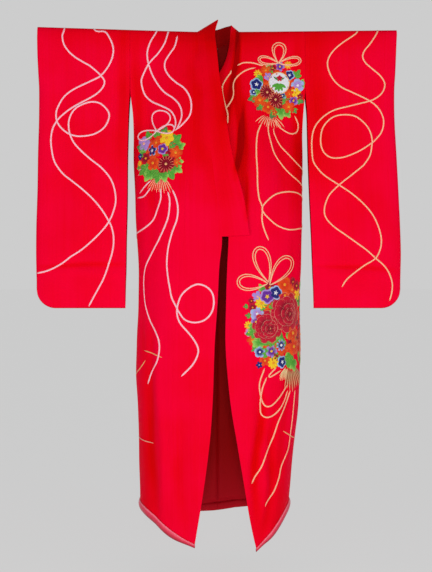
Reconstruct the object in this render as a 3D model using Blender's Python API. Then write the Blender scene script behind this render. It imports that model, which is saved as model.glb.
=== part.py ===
"""A long-sleeved wedding over-robe, hollow, as it hangs filled out from the line of the shoulders.

Metres, +Z up, the front towards -Y. The origin is the middle of the shoulder line. Right and left are the
wearer's, so the right side of the robe is at -X. Every cloth piece is a thin wall whose outer face lies on one
drape: a level section for each row of LEVELS, carried from the front hem over the shoulder to the back hem.
"""

import bpy
import numpy as np

for old in list(bpy.data.objects):
    bpy.data.objects.remove(old, do_unlink=True)

CLOTH = 0.0025  # wall of the silk with its backing
BAND = 0.0030  # wall of the collar, which is double
LINING = 0.0015
SEAM = 0.0004  # left open between two pieces that are sewn together
UNDER = 0.0004  # left open between a cloth and the lining behind it
ROLL_HEIGHT = 0.030
ROLL_TAPER = 0.45  # size of the hem roll at the front corner, against the rest
ROLL_TAPER_LENGTH = 0.12
HEM_DROP_FRONT = {"right": 0.136, "left": 0.196}  # middle of the front hem below its side
HEM_DROP_BACK = {"right": 0.058, "left": 0.042}
HEM_DROP_MIDDLE = 0.050  # of the back seam, where both sides meet
HEM_DROP_EVENS = 0.25  # sine of the angle from the back seam at which a side has its own drop
HEM_DROP_POWER = {"right": 3.0, "left": 2.3}  # how far towards the front corner the hem keeps its side height
SHOULDER_RISE = {"right": 0.018, "left": 0.006}  # tip of the sleeve above the middle of the shoulder line
RISE_STARTS, RISE_ENDS = 0.09, 0.655
RISE_FADES = 0.35  # depth below the shoulder line at which the rise is gone
DROP_STARTS = -0.90  # height from which the hem's dip shows
FULLNESS = 0.25  # how much fuller than an ellipse a level section is
SIDE_SEAM_TURN = 100.0  # degrees from the front centre, below the arm
SIDE_SEAM_SETTLES = (-0.37, -0.62)
LAP_INNER, LAP_OUTER = 0.06, 0.18  # the left front is pressed in up to LAP_INNER and free from LAP_OUTER
SLEEVE_CORNER = 0.070  # radius of the sleeve's lower outer corner
CUFF_ENDS = -0.23  # height down to which the sleeve's outer edge is open
SIGN = {"right": -1.0, "left": 1.0}

SILK = (0.84, 0.0, 0.025, 1.0)
SATIN = (0.80, 0.10, 0.16, 1.0)
DARK_LINING = (0.30, 0.0, 0.01, 1.0)


def table(columns, rows):
    """Turn a short table into a dictionary with one array for each named column."""
    return dict(zip(columns.split(), np.array(rows, dtype=float).T))


# One row for each level. half_* is the half width, front and back the depth at the middle, gap the half
# distance between front and back at the side, round goes from 0 (flat section) to 1 (rounded section),
# edge_* the x of the front edge or collar seam, okumi the width of the overlap strip, lap how far the left
# front is pressed in under the right one, neck_* the half width of the neck behind the shoulder line.
LEVELS = table(
    "height half_right half_left front back gap round edge_right edge_left okumi lap neck",
    [
        (0.000, 0.3175, 0.3175, 0.000, 0.000, 0.000, 0.00, -0.0735, 0.0785, 0.000, 0.000, 0.075),
        (-0.005, 0.3175, 0.3175, 0.014, 0.013, 0.012, 0.00, -0.0733, 0.0784, 0.000, 0.000, 0.0735),
        (-0.018, 0.3175, 0.3175, 0.027, 0.024, 0.018, 0.00, -0.0726, 0.0778, 0.000, 0.001, 0.062),
        (-0.034, 0.3175, 0.3175, 0.037, 0.034, 0.021, 0.00, -0.0712, 0.0762, 0.000, 0.002, 0.038),
        (-0.052, 0.3175, 0.3175, 0.047, 0.043, 0.023, 0.00, -0.0692, 0.0738, 0.000, 0.004, 0.000),
        (-0.110, 0.3175, 0.3175, 0.070, 0.062, 0.025, 0.00, -0.0650, 0.0620, 0.000, 0.011, 0.000),
        (-0.170, 0.3170, 0.3175, 0.088, 0.077, 0.025, 0.05, -0.0600, 0.0480, 0.000, 0.016, 0.000),
        (-0.230, 0.3160, 0.3170, 0.102, 0.088, 0.024, 0.12, -0.0535, 0.0420, 0.006, 0.018, 0.000),
        (-0.300, 0.3080, 0.3120, 0.115, 0.097, 0.016, 0.30, -0.0460, 0.0405, 0.026, 0.018, 0.000),
        (-0.370, 0.3060, 0.3095, 0.125, 0.104, 0.000, 0.50, -0.0370, 0.0400, 0.048, 0.018, 0.000),
        (-0.480, 0.3040, 0.3084, 0.137, 0.112, 0.000, 0.75, -0.0195, 0.0390, 0.080, 0.017, 0.000),
        (-0.620, 0.3005, 0.3080, 0.148, 0.120, 0.000, 1.00, -0.0020, 0.0375, 0.112, 0.014, 0.000),
        (-0.754, 0.2940, 0.3060, 0.156, 0.125, 0.000, 1.00, 0.0155, 0.0385, 0.132, 0.011, 0.000),
        (-0.860, 0.2875, 0.3035, 0.161, 0.128, 0.000, 1.00, 0.0062, 0.0338, 0.137, 0.006, 0.000),
        (-0.980, 0.2870, 0.2985, 0.167, 0.131, 0.000, 1.00, 0.0001, 0.0296, 0.140, 0.002, 0.000),
        (-1.110, 0.2930, 0.3000, 0.174, 0.134, 0.000, 1.00, -0.0100, 0.0280, 0.143, 0.000, 0.000),
        (-1.250, 0.2970, 0.2990, 0.182, 0.137, 0.000, 1.00, -0.0158, 0.0440, 0.146, 0.000, 0.000),
        (-1.360, 0.2905, 0.2945, 0.188, 0.139, 0.000, 1.00, -0.0245, 0.0675, 0.148, 0.000, 0.000),
        (-1.460, 0.2870, 0.2830, 0.193, 0.141, 0.000, 1.00, -0.0385, 0.0883, 0.149, 0.000, 0.000),
        (-1.560, 0.2845, 0.2715, 0.198, 0.143, 0.000, 1.00, -0.0552, 0.1070, 0.150, 0.000, 0.000),
        (-1.640, 0.2825, 0.2660, 0.202, 0.145, 0.000, 1.00, -0.0696, 0.1231, 0.150, 0.000, 0.000),
        (-1.697, 0.2820, 0.2600, 0.205, 0.147, 0.000, 1.00, -0.0788, 0.1346, 0.150, 0.000, 0.000),
    ],
)
HEM = len(LEVELS["height"]) - 1
NECK_BACK = 4  # row of LEVELS where the back neck is lowest
OKUMI_TOP = 7  # row where the overlap strip comes to its point
COLLAR_END = 12  # row where the collar stops
LINING_TOP = 5

# The largest folds: soft troughs that run down the drape, in degrees from the front or back centre.
FOLDS = table(
    "side face turn top bottom depth spread",
    [
        (-1, 0, 58, -0.95, -1.90, 0.011, 7),
        (-1, 0, 34, -1.20, -1.95, 0.006, 6),
        (1, 0, 15, -0.08, -0.62, 0.012, 6),
        (1, 0, 62, -0.85, -1.90, 0.012, 7),
        (1, 0, 40, -1.10, -1.95, 0.007, 6),
        (-1, 1, 48, -0.55, -1.90, 0.010, 8),
        (1, 1, 44, -0.70, -1.95, 0.012, 8),
        (-1, 1, 20, -1.00, -1.95, 0.006, 6),
    ],
)
FOLD_REACH = 0.20  # distance from the axis at which a fold has its full depth

# Free edge of the collar. Each row belongs to a level: reach is the x of the free edge, out how far it
# stands off the drape (towards -Y in front, +Y behind), rise how far it stands above the seam.
COLLAR_EDGE = {
    ("right", "front"): table(
        "reach out rise",
        [
            (0.0018, -0.006, 0.047),
            (-0.0040, 0.006, 0.024),
            (-0.0090, 0.010, 0.010),
            (-0.0085, 0.011, 0.004),
            (-0.0062, 0.012, 0.002),
            (0.0002, 0.010, 0.000),
            (0.0060, 0.009, 0.000),
            (0.0155, 0.008, 0.000),
            (0.0275, 0.008, 0.000),
            (0.0360, 0.008, 0.000),
            (0.0560, 0.008, 0.000),
            (0.0925, 0.007, 0.002),
            (0.1140, 0.006, 0.005),
        ],
    ),
    ("left", "front"): table(
        "reach out rise",
        [
            (0.0490, -0.018, 0.029),
            (0.0475, -0.024, 0.020),
            (0.0455, -0.030, 0.014),
            (0.0440, -0.034, 0.006),
            (0.0415, -0.035, 0.002),
            (0.0290, -0.022, 0.000),
            (0.0030, -0.006, 0.000),
            (-0.0220, 0.000, 0.000),
            (-0.0350, 0.000, 0.000),
            (-0.0450, 0.000, 0.000),
            (-0.0520, 0.000, 0.000),
            (-0.0580, 0.000, 0.000),
            (-0.0600, 0.000, 0.000),
        ],
    ),
    ("right", "back"): table(
        "reach out rise",
        [
            (0.0018, 0.006, 0.047),
            (-0.0140, 0.012, 0.040),
            (-0.0250, 0.012, 0.041),
            (-0.0180, 0.012, 0.050),
            (0.0040, 0.012, 0.070),
        ],
    ),
    ("left", "back"): table(
        "reach out rise",
        [
            (0.0490, 0.018, 0.029),
            (0.0500, 0.016, 0.036),
            (0.0440, 0.014, 0.048),
            (0.0280, 0.012, 0.062),
            (0.0040, 0.012, 0.070),
        ],
    ),
}

# One row for each level of the sleeves: the x of the inner and outer edges, the half distance between the
# two layers at the open inner edge, in the middle, and at the outer edge while the cuff is open.
SLEEVES = table(
    "height inner_right outer_right inner_left outer_left open middle cuff",
    [
        (0.000, 0.3179, 0.655, 0.3179, 0.652, 0.000, 0.000, 0.000),
        (-0.005, 0.3179, 0.655, 0.3179, 0.652, 0.012, 0.012, 0.010),
        (-0.018, 0.3179, 0.655, 0.3179, 0.652, 0.018, 0.018, 0.015),
        (-0.034, 0.3179, 0.655, 0.3179, 0.651, 0.021, 0.021, 0.017),
        (-0.052, 0.3179, 0.655, 0.3179, 0.650, 0.023, 0.023, 0.018),
        (-0.110, 0.3179, 0.654, 0.3179, 0.648, 0.025, 0.026, 0.018),
        (-0.170, 0.3179, 0.652, 0.3179, 0.646, 0.025, 0.028, 0.014),
        (-0.230, 0.3185, 0.651, 0.3190, 0.645, 0.024, 0.030, 0.000),
        (-0.300, 0.3225, 0.651, 0.3255, 0.645, 0.023, 0.031, 0.000),
        (-0.370, 0.3250, 0.652, 0.3275, 0.647, 0.022, 0.031, 0.000),
        (-0.480, 0.3275, 0.655, 0.3305, 0.653, 0.021, 0.030, 0.000),
        (-0.620, 0.3285, 0.657, 0.3360, 0.660, 0.020, 0.029, 0.000),
        (-0.754, 0.3315, 0.661, 0.3420, 0.666, 0.019, 0.027, 0.000),
        (-0.860, 0.3330, 0.662, 0.3460, 0.669, 0.017, 0.024, 0.000),
        (-0.930, 0.3350, 0.661, 0.3490, 0.668, 0.014, 0.020, 0.000),
        (-0.975, 0.3355, 0.660, 0.3500, 0.667, 0.009, 0.013, 0.000),
        (-0.998, 0.3358, 0.660, 0.3502, 0.667, 0.0045, 0.006, 0.000),
        (-1.008, 0.3358, 0.660, 0.3502, 0.667, 0.000, 0.000, 0.000),
    ],
)
SLEEVE_ACROSS = (0.0, 0.14, 0.32, 0.52, 0.70, 0.82, 0.90, 0.96, 1.0)
SLEEVE_ROUNDING = 0.17  # share of the sleeve's width over which the closed edge rounds off

COLLAR_CLEAR = 3.0  # the collar stands this many half seams back, because it turns away from the drape
NUDGE = 0.02  # degrees to either side of a point, for the direction across the drape
PANEL_ACROSS = np.array((0.0, 0.16, 0.32, 0.48, 0.64, 0.80, 0.95, 1.0))
OKUMI_CELLS = 3
COLLAR_CELLS = 4

# Hem roll, in units of its height: outwards from the cloth, and downwards.
ROLL_SECTION = table(
    "out down",
    [
        (0.02, 0.00),
        (0.20, 0.14),
        (0.27, 0.45),
        (0.18, 0.80),
        (-0.05, 1.00),
        (-0.26, 0.80),
        (-0.33, 0.45),
        (-0.24, 0.10),
    ],
)


def material(name, colour, roughness):
    """Make a plain cloth material."""
    finish = bpy.data.materials.new(name)
    finish.use_nodes = True
    surface = finish.node_tree.nodes["Principled BSDF"]
    surface.inputs["Base Color"].default_value = colour
    surface.inputs["Roughness"].default_value = roughness
    finish.diffuse_color = colour
    return finish


RED_SILK = material("red_silk", SILK, 0.45)
ROLL_SATIN = material("roll_satin", SATIN, 0.35)
LINING_SILK = material("lining_silk", DARK_LINING, 0.6)


def solid(name, points, faces, finish):
    """Make one named object from points and faces."""
    mesh = bpy.data.meshes.new(name)
    mesh.from_pydata(points.tolist(), [], faces)
    mesh.materials.append(finish)
    mesh.update()
    mesh.shade_smooth()
    piece = bpy.data.objects.new(name, mesh)
    bpy.context.scene.collection.objects.link(piece)
    return piece


def grid_faces(rows, columns):
    """Split each cell of a grid, numbered row by row, into two triangles along the same diagonal."""
    first = (np.arange(rows - 1)[:, None] * columns + np.arange(columns - 1)).ravel()
    near = np.stack([first, first + 1, first + columns + 1], axis=1)
    far = np.stack([first, first + columns + 1, first + columns], axis=1)
    return np.concatenate([near, far])


def unit(vectors):
    """Scale vectors to a length of one."""
    return vectors / np.linalg.norm(vectors, axis=-1, keepdims=True)


def outwards(points, across=None):
    """Unit normals of a grid of points, from the way its columns run and the way its rows run."""
    if across is None:
        across = np.gradient(points, axis=1, edge_order=2)
    along = np.gradient(points, axis=0, edge_order=2)
    return unit(np.cross(unit(across), along))


def walled(name, points, normal, inset, thickness, finish):
    """Make a wall between two copies of a grid: one moved in by inset, one by the thickness more."""
    rows, columns = points.shape[:2]
    count = rows * columns
    outer = (points - inset * normal).reshape(-1, 3)
    inner = (points - (inset + thickness) * normal).reshape(-1, 3)
    face = grid_faces(rows, columns)
    index = np.arange(count).reshape(rows, columns)
    rim = np.concatenate([index[0, :-1], index[:-1, -1], index[-1, :0:-1], index[:0:-1, 0]])
    after = np.roll(rim, -1)
    climbs = (rim < after)[:, None]
    upper = np.where(climbs, np.stack([after, rim, after + count], 1), np.stack([after, rim, rim + count], 1))
    lower = np.where(
        climbs,
        np.stack([rim, rim + count, after + count], 1),
        np.stack([after, rim + count, after + count], 1),
    )
    faces = np.concatenate([face, face[:, ::-1] + count, upper, lower]).tolist()
    return solid(name, np.concatenate([outer, inner]), faces, finish)


def smooth_step(value):
    """Go from 0 to 1 with a level start and end."""
    value = np.clip(value, 0.0, 1.0)
    return value * value * (3.0 - 2.0 * value)


def side_turn(face, level):
    """Angle of the side edge from the front or back centre, in degrees, at a level."""
    start, end = SIDE_SEAM_SETTLES
    past = (SIDE_SEAM_TURN - 90.0) * smooth_step((LEVELS["height"][level] - start) / (end - start))
    return 90.0 + past if face == "front" else 90.0 - past


def across_at(side, level, turn):
    """Distance from the middle, of a place at an angle from the centre, at a level."""
    half = LEVELS["half_" + side][level]
    bend = LEVELS["round"][level]
    return half * ((1.0 - bend) * turn / 90.0 + bend * np.sin(np.radians(turn)))


def turn_at(side, level, distance):
    """Angle at which the section is a given distance from the middle."""
    turns = np.linspace(-90.0, 90.0, 721)
    return np.interp(distance, across_at(side, level, turns), turns)


def depth_at(side, face, level, turn):
    """Depth of the section in front of the middle plane, or behind it on the back."""
    angle = np.radians(turn)
    bend = LEVELS["round"][level]
    flat = np.cos(angle) ** 2
    full = np.cos(angle) * (1.0 + FULLNESS * np.sin(angle) ** 2)
    shape = np.where(turn > 90.0, full, (1.0 - bend) * flat + bend * full)
    other = "back" if face == "front" else "front"
    reach = np.where(turn > 90.0, LEVELS[other][level], LEVELS[face][level])
    gap = LEVELS["gap"][level]
    depth = gap + (reach - gap) * shape
    if (side, face) == ("left", "front"):
        distance = across_at(side, level, turn)
        pressed = 1.0 - smooth_step((distance - LAP_INNER) / (LAP_OUTER - LAP_INNER))
        depth = depth - LEVELS["lap"][level] * pressed
    return depth


def fold_factor(side, face, turn, height):
    """Share by which the folds pull a place of the drape in towards the axis."""
    pull = 0.0
    for n, fold_side in enumerate(FOLDS["side"]):
        if fold_side != SIGN[side] or FOLDS["face"][n] != (face == "back"):
            continue
        top, bottom = FOLDS["top"][n], FOLDS["bottom"][n]
        along = np.sin(np.pi * np.clip((height - top) / (bottom - top), 0.0, 1.0)) ** 2
        across = np.exp(-(((turn - FOLDS["turn"][n]) / FOLDS["spread"][n]) ** 2))
        pull = pull + FOLDS["depth"][n] * along * across
    return 1.0 - pull / FOLD_REACH


def back_drop(side, turn):
    """Drop of the back hem: the same on both sides at the back seam, and the side's own further out."""
    from_seam = np.minimum(np.abs(np.sin(np.radians(turn))) / HEM_DROP_EVENS, 1.0)
    return HEM_DROP_MIDDLE + (HEM_DROP_BACK[side] - HEM_DROP_MIDDLE) * from_seam


def hem_dip(side, face, turn):
    """How far the hem hangs below its height at the side."""
    drop = HEM_DROP_FRONT[side] if face == "front" else back_drop(side, turn)
    beyond = back_drop(side, turn) if face == "front" else HEM_DROP_FRONT[side]
    share = np.cos(np.radians(turn))
    if face == "front":
        return np.where(turn > 90.0, beyond * share**2, drop * np.abs(share) ** HEM_DROP_POWER[side])
    return np.where(turn > 90.0, beyond * np.abs(share) ** HEM_DROP_POWER[side], drop * share**2)


def shoulder_rise(side, x, height):
    """How far the shoulder line stands up towards the end of the sleeve."""
    along = np.clip((np.abs(x) - RISE_STARTS) / (RISE_ENDS - RISE_STARTS), 0.0, 1.0)
    return SHOULDER_RISE[side] * along * (1.0 - smooth_step(-height / RISE_FADES))


def drape(side, face, level, turn):
    """Points of the drape at one level, for an array of angles from the front or back centre."""
    turn = np.asarray(turn, dtype=float)
    height = LEVELS["height"][level]
    pull = fold_factor(side, face, turn, height)
    x = SIGN[side] * across_at(side, level, turn) * pull
    facing = -1.0 if face == "front" else 1.0
    y = facing * depth_at(side, face, level, turn) * pull
    lowered = smooth_step((height - DROP_STARTS) / (LEVELS["height"][HEM] - DROP_STARTS))
    z = height - hem_dip(side, face, turn) * lowered + shoulder_rise(side, x, height)
    return np.stack([x, y, z], axis=-1)


def edge_turn(side, level):
    """Angle of the front edge, or of the collar seam above it."""
    return turn_at(side, level, SIGN[side] * LEVELS["edge_" + side][level])


def okumi_turn(side, level):
    """Angle of the seam between the overlap strip and the front, its width round the section."""
    turns = np.linspace(edge_turn(side, level), 90.0, 181)
    across, depth = across_at(side, level, turns), depth_at(side, "front", level, turns)
    run = np.concatenate([[0.0], np.cumsum(np.hypot(np.diff(across), np.diff(depth)))])
    return np.interp(LEVELS["okumi"][level], run, turns)


def seam_turn(side, level):
    """Half a seam's opening, as an angle."""
    return np.degrees(0.5 * SEAM / LEVELS["half_" + side][level])


def collar_seam_turn(side, face, level):
    """Angle of the seam that the collar is sewn to, along the front, or behind the neck and below it."""
    if face == "front" or level == 0:
        return edge_turn(side, level)
    return turn_at(side, level, LEVELS["neck"][level])


def panel_turns(side, face, level):
    """Angles of the points across a body panel, from its inner edge to its side edge."""
    edge = seam_turn(side, level)
    if face == "front" and level >= OKUMI_TOP:
        inner = okumi_turn(side, level)
    else:
        inner = collar_seam_turn(side, face, level)
    outer = side_turn(face, level) - edge
    return inner + edge + PANEL_ACROSS * (outer - inner - edge)


def on_drape(side, rows):
    """Points and normals of a grid that lies on the drape; rows gives face, level and angles."""
    points = np.array([drape(side, *row) for row in rows])
    ahead = np.array([drape(side, face, level, turns + NUDGE) for face, level, turns in rows])
    before = np.array([drape(side, face, level, turns - NUDGE) for face, level, turns in rows])
    normal = outwards(points, ahead - before) * SIGN[side]
    if side == "right":
        return points[:, ::-1], normal[:, ::-1]
    return points, normal


def body_panel(side):
    """One body panel, a single length from the front hem over the shoulder, and its back's lining."""
    front = [("front", n, panel_turns(side, "front", n)) for n in range(HEM, -1, -1)]
    back = [("back", n, panel_turns(side, "back", n)) for n in range(1, HEM + 1)]
    points, normal = on_drape(side, front + back)
    walled(side + "_body_panel", points, normal, 0.0, CLOTH, RED_SILK)
    rows = slice(HEM + LINING_TOP, len(points) - 1)
    columns = slice(0, -1) if side == "left" else slice(1, None)
    behind, facing = points[rows, columns], normal[rows, columns]
    walled(side + "_back_lining", behind, facing, CLOTH + UNDER, LINING, LINING_SILK)


def okumi(side):
    """The overlap strip: a long narrow piece from its point below the shoulder to the hem."""
    rows = []
    for level in range(HEM, OKUMI_TOP - 1, -1):
        edge = seam_turn(side, level)
        turns = np.linspace(edge_turn(side, level) + edge, okumi_turn(side, level) - edge, OKUMI_CELLS + 1)
        rows.append(("front", level, turns))
    points, normal = on_drape(side, rows)
    walled(side + "_okumi", points, normal, 0.0, CLOTH, RED_SILK)


def collar_row(side, face, level):
    """Points across the collar, from its seam to its free edge."""
    edge = COLLAR_EDGE[side, face]
    share = np.linspace(0.0, 1.0, COLLAR_CELLS + 1)
    seam = collar_seam_turn(side, face, level) - COLLAR_CLEAR * seam_turn(side, level)
    start = SIGN[side] * across_at(side, level, seam)
    x = start + share * (edge["reach"][level] - start)
    points = drape(side, face, level, turn_at(side, level, SIGN[side] * x))
    points[:, 1] += (-1.0 if face == "front" else 1.0) * share * edge["out"][level]
    points[:, 2] += share * edge["rise"][level]
    return points


def seam_normals(side, rows):
    """Normals of the drape along the collar's seam, one for each row."""
    turns = [collar_seam_turn(side, *row) + np.zeros(1) for row in rows]
    grid = [(face, level, turn) for (face, level), turn in zip(rows, turns)]
    return on_drape(side, grid)[1][:, 0]


def collar():
    """One band from the end on the right front, round the neck, to the end on the left front."""
    down = [("front", n) for n in range(COLLAR_END, -1, -1)]
    behind = [("back", n) for n in range(1, NECK_BACK + 1)]
    half_rows = down + behind
    right = np.array([collar_row("right", *row) for row in half_rows])
    left = np.array([collar_row("left", *row) for row in half_rows])
    right_seam = seam_normals("right", half_rows)
    left_seam = seam_normals("left", half_rows)
    middle = 0.5 * (right[-1:] + left[-1:])
    points = np.concatenate([right[:-1], middle, left[-2::-1]])
    normal = outwards(points)
    seam = np.concatenate([right_seam[:-1], 0.5 * (right_seam[-1:] + left_seam[-1:]), left_seam[-2::-1]])
    normal[:, 0] = unit(seam)
    points[len(half_rows) - 1, :, 2] += SEAM
    walled("collar", points, normal, 0.0, BAND, RED_SILK)


def sleeve(side):
    """One sleeve: a length folded on top, closed at the bottom and up the outer edge to the cuff."""
    sign = SIGN[side]
    share = np.array(SLEEVE_ACROSS)
    rows, columns = len(SLEEVES["height"]), len(share)
    inner, outer = SLEEVES["inner_" + side][:, None], SLEEVES["outer_" + side][:, None]
    x = inner + share * (outer - inner)
    bottom = SLEEVES["height"][-1]
    from_edge = np.clip(SLEEVE_CORNER - (outer - x), 0.0, SLEEVE_CORNER)
    lift = SLEEVE_CORNER - np.sqrt(SLEEVE_CORNER**2 - from_edge**2)
    z = SLEEVES["height"][:, None] * (1.0 + lift / bottom)
    z = z + shoulder_rise(side, x, SLEEVES["height"][:, None])
    belly = np.sin(np.pi * share) ** 2
    open_gap = SLEEVES["open"][:, None]
    half = open_gap + (SLEEVES["middle"][:, None] - open_gap) * belly
    closing = np.sqrt(1.0 - np.clip((share - 1.0) / SLEEVE_ROUNDING + 1.0, 0.0, 1.0) ** 2)
    cuff = SLEEVES["cuff"][:, None]
    half = cuff * (1.0 - closing) + half * closing
    front = np.stack([sign * x, -half, z], axis=-1)
    back = np.stack([sign * x, half, z], axis=-1)
    index_front = np.arange(rows * columns).reshape(rows, columns)
    index_back = index_front + rows * columns
    cuff_rows = SLEEVES["height"] > CUFF_ENDS
    index_back[0] = index_front[0]
    index_back[-1] = index_front[-1]
    index_back[~cuff_rows, -1] = index_front[~cuff_rows, -1]
    cells = []
    for index, flip in ((index_front, sign > 0), (index_back, sign < 0)):
        corner = [index[:-1, :-1], index[:-1, 1:], index[1:, 1:], index[1:, :-1]]
        order = corner[::-1] if flip else corner
        cells.append(np.stack(order, axis=-1).reshape(-1, 4))
    points = np.concatenate([front.reshape(-1, 3), back.reshape(-1, 3)])
    faces = np.concatenate(cells)
    used, numbered = np.unique(faces, return_inverse=True)
    piece = solid(side + "_sleeve", points[used], numbered.reshape(-1, 4).tolist(), RED_SILK)
    wall = piece.modifiers.new("wall", "SOLIDIFY")
    wall.thickness = CLOTH
    wall.offset = -1.0
    wall.use_even_offset = True


def hem_roll(side):
    """The padded roll below one side of the hem, from the front corner to the centre back."""
    edge = seam_turn(side, HEM)
    strip = np.linspace(edge_turn(side, HEM) + edge, okumi_turn(side, HEM), OKUMI_CELLS + 1)
    front = drape(side, "front", HEM, np.append(strip[:-1], panel_turns(side, "front", HEM)))
    back = drape(side, "back", HEM, panel_turns(side, "back", HEM)[::-1])
    path = np.concatenate([front[:-1], back])
    along = np.gradient(path, axis=0)
    along[:, 2] = 0.0
    out = np.cross(along, (0.0, 0.0, 1.0)) * SIGN[side]
    out[-1] = (0.0, 1.0, 0.0)
    out = unit(out)
    run = np.concatenate([[0.0], np.cumsum(np.linalg.norm(np.diff(path, axis=0), axis=1))])
    size = ROLL_TAPER + (1.0 - ROLL_TAPER) * smooth_step(run / ROLL_TAPER_LENGTH)
    reach = (ROLL_HEIGHT * size)[:, None, None]
    below = np.array((0.0, 0.0, -1.0))
    section = ROLL_SECTION["out"][:, None] * out[:, None, :] + ROLL_SECTION["down"][:, None] * below
    points = path[:, None, :] + reach * section
    points[:, :, 2] -= SEAM
    stations, around = points.shape[:2]
    faces = []
    for n in range(stations - 1):
        for k in range(around):
            m = (k + 1) % around
            quad = [n * around + k, n * around + m, (n + 1) * around + m, (n + 1) * around + k]
            faces.append(quad if side == "left" else quad[::-1])
    first = list(range(around))
    last = [(stations - 1) * around + k for k in first]
    faces.append(first[::-1] if side == "left" else first)
    faces.append(last if side == "left" else last[::-1])
    solid(side + "_hem_roll", points.reshape(-1, 3), faces, ROLL_SATIN)


for wearer_side in ("right", "left"):
    body_panel(wearer_side)
    okumi(wearer_side)
    sleeve(wearer_side)
    hem_roll(wearer_side)
collar()
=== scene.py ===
"""A long-sleeved wedding over-robe of red silk, filled out as it is worn, embroidered with balls of flowers
and long cords. The file follows the making: body, overlap strips, sleeves, collar, lining, padded hem, and
then the embroidery. Metres, +Z up, the front towards -Y; right and left are the wearer's.
"""

import bpy
import numpy as np
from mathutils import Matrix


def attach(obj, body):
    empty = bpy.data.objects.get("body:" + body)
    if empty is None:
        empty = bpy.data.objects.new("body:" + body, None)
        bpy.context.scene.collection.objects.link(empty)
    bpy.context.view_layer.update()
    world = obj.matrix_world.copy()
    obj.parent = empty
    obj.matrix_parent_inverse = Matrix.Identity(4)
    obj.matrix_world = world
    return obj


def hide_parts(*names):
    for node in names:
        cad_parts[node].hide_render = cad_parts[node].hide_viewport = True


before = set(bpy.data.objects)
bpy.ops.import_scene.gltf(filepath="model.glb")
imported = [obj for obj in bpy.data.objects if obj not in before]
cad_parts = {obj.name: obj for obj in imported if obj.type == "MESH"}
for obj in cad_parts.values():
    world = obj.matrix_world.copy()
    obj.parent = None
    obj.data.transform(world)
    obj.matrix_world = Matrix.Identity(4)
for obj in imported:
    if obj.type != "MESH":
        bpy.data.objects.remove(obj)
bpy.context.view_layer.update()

# ---------------------------------------------------------------------------------------- the body panels
# Two widths of scarlet silk crepe, one for each side, that run from the front hem over the shoulder to the
# back hem. They meet in a seam down the back, turn round the body below the arms, and hang in soft folds.


def table(columns, rows):
    """Turn rows into an array for each named column. Columns past the bar are in thousandths, so lengths
    there are in millimetres."""
    whole, small = (names.split() for names in columns.split("|"))
    values = np.array(rows, dtype=float).T
    values[len(whole) :] /= 1000.0
    return dict(zip(whole + small, values))


# One row for each level: half width on each side, depth in front and behind at the middle, half gap at the
# side, round from 0 (flat section) to 1000 (rounded), x of each front edge or collar seam, width of the
# overlap strip, how far the left front is pressed in under the right one, half width of the neck behind.
LEVELS = table(
    "| height half_right half_left front back gap round edge_right edge_left okumi lap neck",
    [
        (0, 317.5, 317.5, 0, 0, 0, 0, -73.5, 78.5, 0, 0, 75),
        (-5, 317.5, 317.5, 14, 13, 12, 0, -73.3, 78.4, 0, 0, 73.5),
        (-18, 317.5, 317.5, 27, 24, 18, 0, -72.6, 77.8, 0, 1, 62),
        (-34, 317.5, 317.5, 37, 34, 21, 0, -71.2, 76.2, 0, 2, 38),
        (-52, 317.5, 317.5, 47, 43, 23, 0, -69.2, 73.8, 0, 4, 0),
        (-110, 317.5, 317.5, 70, 62, 25, 0, -65, 62, 0, 11, 0),
        (-170, 317, 317.5, 88, 77, 25, 50, -60, 48, 0, 16, 0),
        (-230, 316, 317, 102, 88, 24, 120, -53.5, 42, 6, 18, 0),
        (-300, 308, 312, 115, 97, 16, 300, -46, 40.5, 26, 18, 0),
        (-370, 306, 309.5, 125, 104, 0, 500, -37, 40, 48, 18, 0),
        (-480, 304, 308.4, 137, 112, 0, 750, -19.5, 39, 80, 17, 0),
        (-620, 300.5, 308, 148, 120, 0, 1000, -2, 37.5, 112, 14, 0),
        (-754, 294, 306, 156, 125, 0, 1000, 15.5, 38.5, 132, 11, 0),
        (-860, 287.5, 303.5, 161, 128, 0, 1000, 6.2, 33.8, 137, 6, 0),
        (-980, 287, 298.5, 167, 131, 0, 1000, 0.1, 29.6, 140, 2, 0),
        (-1110, 293, 300, 174, 134, 0, 1000, -10, 28, 143, 0, 0),
        (-1250, 297, 299, 182, 137, 0, 1000, -15.8, 44, 146, 0, 0),
        (-1360, 290.5, 294.5, 188, 139, 0, 1000, -24.5, 67.5, 148, 0, 0),
        (-1460, 287, 283, 193, 141, 0, 1000, -38.5, 88.3, 149, 0, 0),
        (-1560, 284.5, 271.5, 198, 143, 0, 1000, -55.2, 107, 150, 0, 0),
        (-1640, 282.5, 266, 202, 145, 0, 1000, -69.6, 123.1, 150, 0, 0),
        (-1697, 282, 260, 205, 147, 0, 1000, -78.8, 134.6, 150, 0, 0),
    ],
)
HEM = len(LEVELS["height"]) - 1
OKUMI_TOP, COLLAR_END = 6, 12  # rows of LEVELS
SIGN = {"right": -1.0, "left": 1.0}
CLOTH = 0.0022  # thickness
PITCH = 0.0065  # spacing of the points of the cloth
HEM_DROP_FRONT = {"right": 0.136, "left": 0.196}  # most that the hem dips below the last level
HEM_DROP_BACK = {"right": 0.058, "left": 0.042}
HEM_DROP_MIDDLE = 0.050  # of the back seam
HEM_DROP_POWER = {"right": 3.0, "left": 2.3}
HEM_DROP_FROM = -0.90  # height below which the hem starts to dip
SHOULDER_RISE = {"right": 0.018, "left": 0.006}  # at the sleeves' outer ends, from the seam of the neck
SHOULDER_START, SHOULDER_LENGTH = 0.09, 0.565
SHOULDER_DEPTH = 0.35  # how far down the rise dies out
SIDE_CLOSED = -0.37  # height of the arm opening's lower end
LAP_START, LAP_LENGTH = 0.06, 0.12  # where the left front's pressing starts to fade, and how soon it ends
FULLNESS = 0.25  # how much a round section bulges between the middle and the side
MIDDLE_REACH = 0.25  # sine of the angle over which the dip behind goes from the back seam's to the side's


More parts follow.
